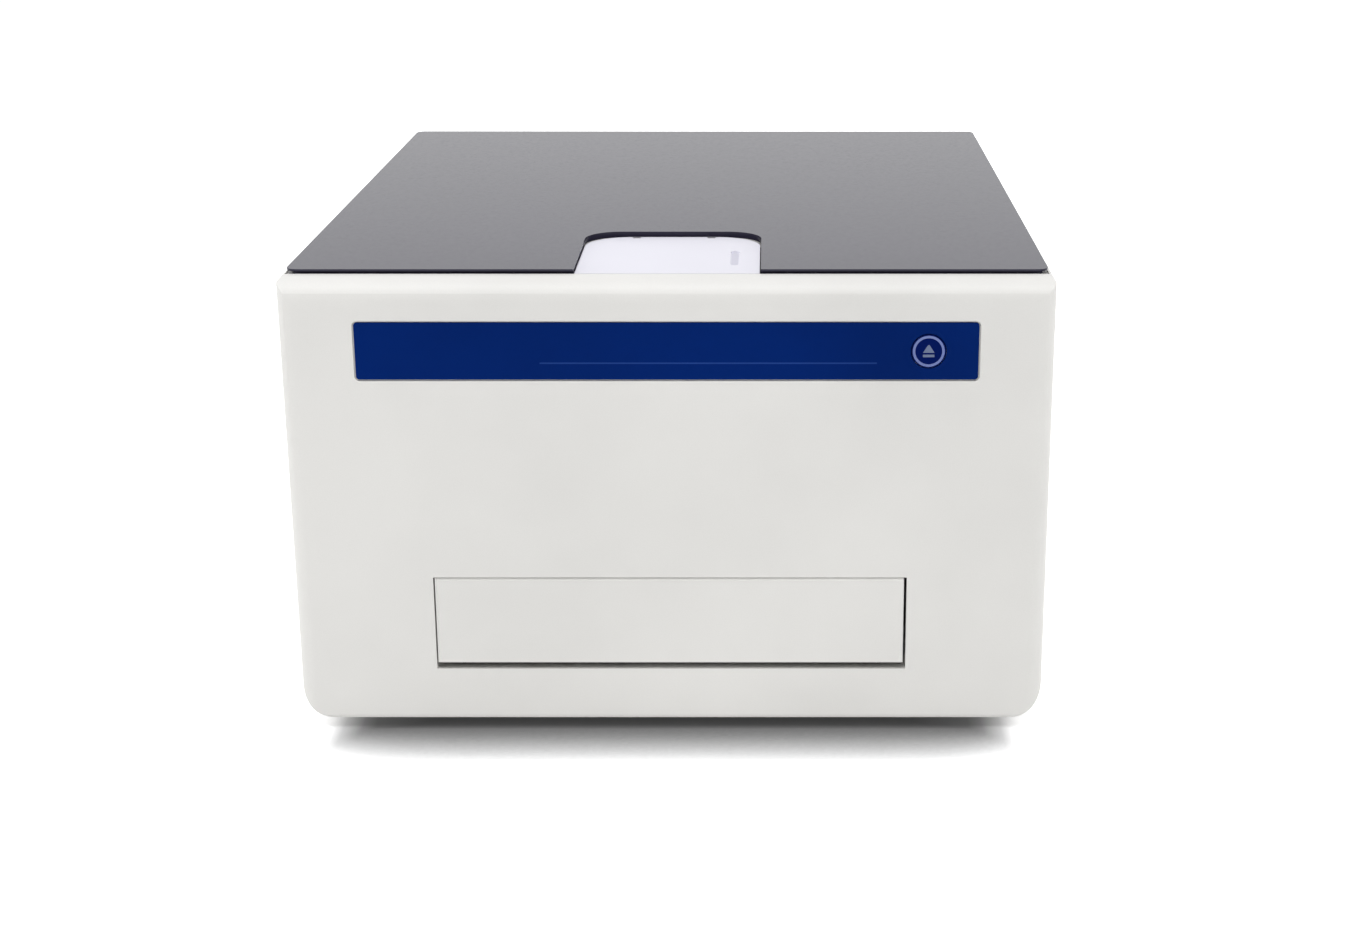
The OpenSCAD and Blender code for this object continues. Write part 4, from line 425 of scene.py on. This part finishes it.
def printed(outline, place, height, edge):
    """A flat raised shape: its outline in the face, and a top that is smaller by the edge."""
    middle = Vector((sum(u for u, v in outline), sum(v for u, v in outline))) / len(outline)
    top = []
    for u, v in outline:
        away = Vector((u, v)) - middle
        top.append(tuple(middle + away * (1 - edge / max(away.length, edge))))
    count = len(outline)
    verts = [place(u, v, -SUNK) for u, v in outline] + [place(u, v, height) for u, v in top]
    sides = [(k, (k + 1) % count, (k + 1) % count + count, k + count) for k in range(count)]
    return verts, sides + [tuple(range(count))[::-1], tuple(range(count, 2 * count))]


def ring(inner, outer, place, height, steps):
    """A flat raised ring with sloping sides."""
    section = ((inner, -SUNK), (inner + RING_SLOPE, height), (outer - RING_SLOPE, height), (outer, -SUNK))
    count = len(section)
    verts, faces = [], []
    for k in range(steps):
        angle = 2 * math.pi * k / steps
        verts += [place(r * math.cos(angle), r * math.sin(angle), h) for r, h in section]
        here, after = k * count, (k + 1) % steps * count
        for j in range(count):
            following = (j + 1) % count
            faces.append((here + j, here + following, after + following, after + j))
    return verts, faces


def bar(across, along, upward):
    """A bar between two places on each axis."""
    verts = [(x, y, z) for x in across for y in along for z in upward]
    return verts, [(0, 1, 3, 2), (4, 6, 7, 5), (0, 4, 5, 1), (2, 3, 7, 6), (0, 2, 6, 4), (1, 5, 7, 3)]


def together(*shapes):
    verts, faces = [], []
    for more, loops in shapes:
        faces += [tuple(i + len(verts) for i in loop) for loop in loops]
        verts += more
    return verts, faces


def rounded(width, height, radius, centre=(0, 0), steps=6):
    """Outline of a rectangle with round corners."""
    points = []
    for k, (side, end) in enumerate(((1, 1), (-1, 1), (-1, -1), (1, -1))):
        corner_u = centre[0] + side * (width / 2 - radius)
        corner_v = centre[1] + end * (height / 2 - radius)
        for j in range(steps + 1):
            angle = math.pi / 2 * (k + j / steps)
            points.append((corner_u + radius * math.cos(angle), corner_v + radius * math.sin(angle)))
    return points


def ink(name, color, grain=0.03, mottle=0.08, specular=0.1):
    return moulded(name, color, grain=grain, rough=0.5, mottle=mottle, specular=specular)


INK_PALE = ink("ink_pale", srgb(122, 136, 190))
INK_GREY = ink("ink_grey", srgb(116, 128, 158))
INK_DEEP = ink("ink_deep", srgb(30, 62, 132), specular=0.05)
# painted shade for the bottom of the lid's finger groove, darker than the lid
GROOVE_SHADE_INK = ink("painted_groove_shade", srgb(208, 207, 218), grain=0.05, mottle=0.05, specular=0.2)
INK_WHITE = ink("ink_white", srgb(214, 214, 212), mottle=0.05, specular=0.2)

# ---------------------------------------------------------------- small pieces

# the button's ring, and its eject sign: a blunt triangle over a line
EJECT_SIGN = ([(-2.6, -0.7), (2.6, -0.7), (0.35, 2.9), (-0.35, 2.9)],
              rounded(5.2, 1.2, 0.2, centre=(0, -2.1)))
button_low, button_high = box_mm("eject_button")
button_middle = (button_low + button_high) / 2
on_button = drawing_on((button_middle.x, button_low.y, button_middle.z), *FRONT)
piece("button_ring", ring(6.0, 7.15, on_button, height=0.09, steps=96), "button", "button_blue", INK_PALE)
sign = [printed(outline, on_button, height=0.09, edge=0.05) for outline in EJECT_SIGN]
piece("button_icon", together(*sign), "button", "button_blue", INK_GREY)

# a rim round the drawer front that narrows the gap in the bezel
RIM_LEFT, RIM_RIGHT, RIM_TOP = 0.8, 0.2, 0.7
RIM_LAP = 0.1
RIM_DEPTHS = (0.35, 2.4)
door_low, door_high = box_mm("drawer_front")
rim_y = [door_low.y + depth for depth in RIM_DEPTHS]
rim_top = door_high.z + RIM_TOP
piece("door_rim", together(
    bar((door_low.x - RIM_LEFT, door_low.x + RIM_LAP), rim_y, (door_low.z, rim_top)),
    bar((door_high.x - RIM_LAP, door_high.x + RIM_RIGHT), rim_y, (door_low.z, rim_top)),
    bar((door_low.x, door_high.x), rim_y, (door_high.z - RIM_LAP, rim_top))), "drawer", "case_white")

# the pale rule along the strip
RULE = rounded(151, 0.7, 0.3, centre=(18.5, 7.6))
strip_low, _ = box_mm("overlay_strip")
on_strip = drawing_on((0, strip_low.y, strip_low.z), *FRONT)
piece("strip_rule", printed(RULE, on_strip, height=0.05, edge=0.02), "case", "strip_blue", INK_DEEP)

# the rocker's two generic marks: a bar and a ring, one on each half of its face
rocker_joint = next(joint for joint in frame["joints"] if joint["name"] == "power_rocker_tilt")
rocker_axis = Vector(rocker_joint["pos_m"]) / MM
RIDGE_HALF = 0.6  # vertices this close to the axis are on the ridge between the two flats


def on_rocker(side):
    """The middle of one flat of the rocker's face, tipped with it. Side -1 has the lower x."""
    points = [vertex.co / MM for vertex in nodes["power_rocker"].data.vertices]
    face = [p for p in points if p.y > rocker_axis.y + 1]
    outer = max((p for p in face if side * (p.x - rocker_axis.x) > 1), key=lambda p: side * p.x)
    inner = next(p for p in face if abs(p.x - rocker_axis.x) < RIDGE_HALF)
    along = Vector((outer.x - inner.x, outer.y - inner.y, 0)).normalized()
    origin = ((outer.x + inner.x) / 2, (outer.y + inner.y) / 2, rocker_axis.z)
    return drawing_on(origin, along * -side, (0, 0, 1))


piece("rocker_bar", printed(rounded(0.9, 5.0, 0.2), on_rocker(-1), height=0.06, edge=0.03),
      "rocker", "black_plastic", INK_WHITE)
piece("rocker_ring", ring(1.6, 2.45, on_rocker(1), height=0.06, steps=48),
      "rocker", "black_plastic", INK_WHITE)

# contact tongues inside the two data sockets, placed by the sockets' middles and by their rear and top
USB_X = (44, 66)
TONGUE_IN, TONGUE_DOWN, TONGUE_LENGTH = 9.6, 4.0, 8.6
CONTACT_IN, CONTACT_DOWN = 5.4, 4.88
CONTACTS, CONTACT_PITCH = 4, 2.3
_, usb_high = box_mm("usb_ports")
for number, x in enumerate(USB_X, 1):
    on_tongue = drawing_on((x, usb_high.y - TONGUE_IN, usb_high.z - TONGUE_DOWN), *BACK)
    tongue = printed(rounded(10.2, 1.7, 0.3), on_tongue, height=TONGUE_LENGTH, edge=0.4)
    piece(f"usb_tongue_{number}", tongue, "case", "black_plastic")
    for k in range(CONTACTS):
        contact_x = x + (k - (CONTACTS - 1) / 2) * CONTACT_PITCH
        on_contact = drawing_on((contact_x, usb_high.y - CONTACT_IN, usb_high.z - CONTACT_DOWN), *UNDERSIDE)
        contact = printed(rounded(1.1, 6.0, 0.2), on_contact, height=0.12, edge=0.03)
        piece(f"usb_contact_{number}_{k + 1}", contact, "case", "bright_steel", slot_materials["bronze"])

# a small triangle on the cuvette port's floor points at the socket, along its light path
PORT_FLOOR_AT = (0, -173, 198.5)
on_port = drawing_on(PORT_FLOOR_AT, *TOP)
piece("port_arrow", printed([(-3, -2), (3, -2), (0, 2.6)], on_port, height=0.06, edge=0.03),
      "case", "black_plastic", INK_WHITE)

# a thin raised patch, darker than the lid, at the bottom of the lid's finger groove: painted shade in the groove
GROOVE_FLOOR_AT = (30, -155.2, 215.7)
on_lid = drawing_on(GROOVE_FLOOR_AT, *TOP)
piece("lid_groove_shade", printed(rounded(3.2, 28.6, 1.5), on_lid, height=0.12, edge=0.05),
      "lid", "lid_white", GROOVE_SHADE_INK)

# ---------------------------------------------------------------- floor

FLOOR_HALF = 6.0
FLOOR_TONE = (0.86, 0.86, 0.86)
FLOOR_GLOW = 0.72
# The painted shadow close round the object, drawn from occlusion: how far the floor looks for it, and the paper's
# tone at each share of open sky. Along X, beyond the ends of the case, the painted shadow is faded from one
# distance off the middle to another, up to this share.
SHADOW_REACH = 0.08
SHADOW_SAMPLES = 24
SHADOW_STEPS = ((0.0, 0.04), (0.48, 0.09), (0.57, 0.145), (0.7, 0.36), (0.82, 0.78), (0.94, 1.0))
SHADOW_FADE_SPAN = (0.108, 0.168)
SHADOW_FADE_MOST = 0.9


def floor_material():
    """White paper: seen straight, it is lit a little from within, and carries a painted shadow, dark where the
    object is close.
    """
    t = Material("floor_paper")
    t.finish(FLOOR_TONE, t.ramp(t.noise(40, detail=3), *WIDE, 0.7, 0.8))
    near = t.add("ShaderNodeAmbientOcclusion", Distance=SHADOW_REACH)
    near.samples = SHADOW_SAMPLES
    off_middle = t.math("ABSOLUTE", t.add("ShaderNodeSeparateXYZ", Vector=t.point).outputs["X"])
    # painted shadow: the share of open sky from occlusion, lifted along X beyond the ends of the case
    shadow_free_share = t.math("MAXIMUM", near.outputs["AO"], t.ramp(off_middle, *SHADOW_FADE_SPAN, 0.0, SHADOW_FADE_MOST))
    tone = t.nodes.new("ShaderNodeValToRGB")
    t.set(tone.inputs[0], shadow_free_share)
    steps = tone.color_ramp.elements
    steps.remove(steps[-1])
    for place, level in SHADOW_STEPS:
        step = steps[0] if place == 0 else steps.new(place)
        step.color = (level, level, level, 1)
    # the painted shadow's tone darkens both the paper's colour and its glow
    paper = t.add("ShaderNodeBsdfDiffuse", Color=tone.outputs[0])
    glow = t.add("ShaderNodeEmission", Color=tone.outputs[0], Strength=FLOOR_GLOW)
    paper_with_painted_shadow = t.nodes.new("ShaderNodeAddShader")
    t.set(paper_with_painted_shadow.inputs[0], paper.outputs[0])
    t.set(paper_with_painted_shadow.inputs[1], glow.outputs[0])
    t.set(t.surface, t.mix_shader(t.straight_rays(), t.bsdf.outputs[0], paper_with_painted_shadow.outputs[0]))
    return t.owner


floor_mesh = bpy.data.meshes.new("floor")
builder = bmesh.new()
bmesh.ops.create_grid(builder, x_segments=1, y_segments=1, size=FLOOR_HALF)
builder.to_mesh(floor_mesh)
builder.free()
floor = bpy.data.objects.new("floor", floor_mesh)
floor.data.materials.append(floor_material())
scene.collection.objects.link(floor)

# ---------------------------------------------------------------- world and lamps

WORLD_LEVEL = 0.31
PURE_WHITE = (1, 1, 1)

# white where it is seen, and dimmer where it only carries light
scene.world = bpy.data.worlds.new("studio")
sky = Tree(scene.world, "ShaderNodeOutputWorld")
seen = sky.add("ShaderNodeBackground", Color=PURE_WHITE, Strength=1.0)
lighting = sky.add("ShaderNodeBackground", Color=PURE_WHITE, Strength=WORLD_LEVEL)
sky.set(sky.surface, sky.mix_shader(sky.straight_rays(), lighting.outputs[0], seen.outputs[0]))

# where each softbox is, where it points, its two sides, its watts, its colour, and whether gloss mirrors it
SOFTBOXES = {
    "key_box": ((-0.1, -0.75, 1.5), (0, -0.1, 0.2), (1.4, 0.7), 12.7, (0.985, 0.985, 1.0), True),
    "top_box": ((-0.25, 0.25, 1.6), (0, 0, 0.2), (1.6, 1.6), 5, (0.95, 0.95, 1.0), True),
    "low_box": ((0, -0.62, 0.03), (0, -0.2, 0.03), (0.7, 0.04), 0.2, PURE_WHITE, True),
    "left_box": ((-1.7, -0.4, 0.5), (0, 0, 0.1), (0.8, 0.8), 7.5, PURE_WHITE, False),
    "right_box": ((1.7, -0.4, 0.5), (0, 0, 0.1), (0.8, 0.8), 8, PURE_WHITE, False),
    "back_box": ((0.2, 1.7, 0.4), (0, 0, 0.1), (0.8, 0.8), 6, PURE_WHITE, False),
}
for name, (place, aim, sides, watts, tint, mirrored) in SOFTBOXES.items():
    light = bpy.data.lights.new(name, "AREA")
    light.shape = "RECTANGLE"
    light.size, light.size_y = sides
    light.energy = watts
    light.color = tint
    lamp = bpy.data.objects.new(name, light)
    lamp.location = place
    lamp.rotation_euler = (Vector(aim) - Vector(place)).to_track_quat("-Z", "Y").to_euler()
    lamp.visible_camera = False
    lamp.visible_glossy = mirrored
    scene.collection.objects.link(lamp)

scene.view_settings.view_transform = "Standard"
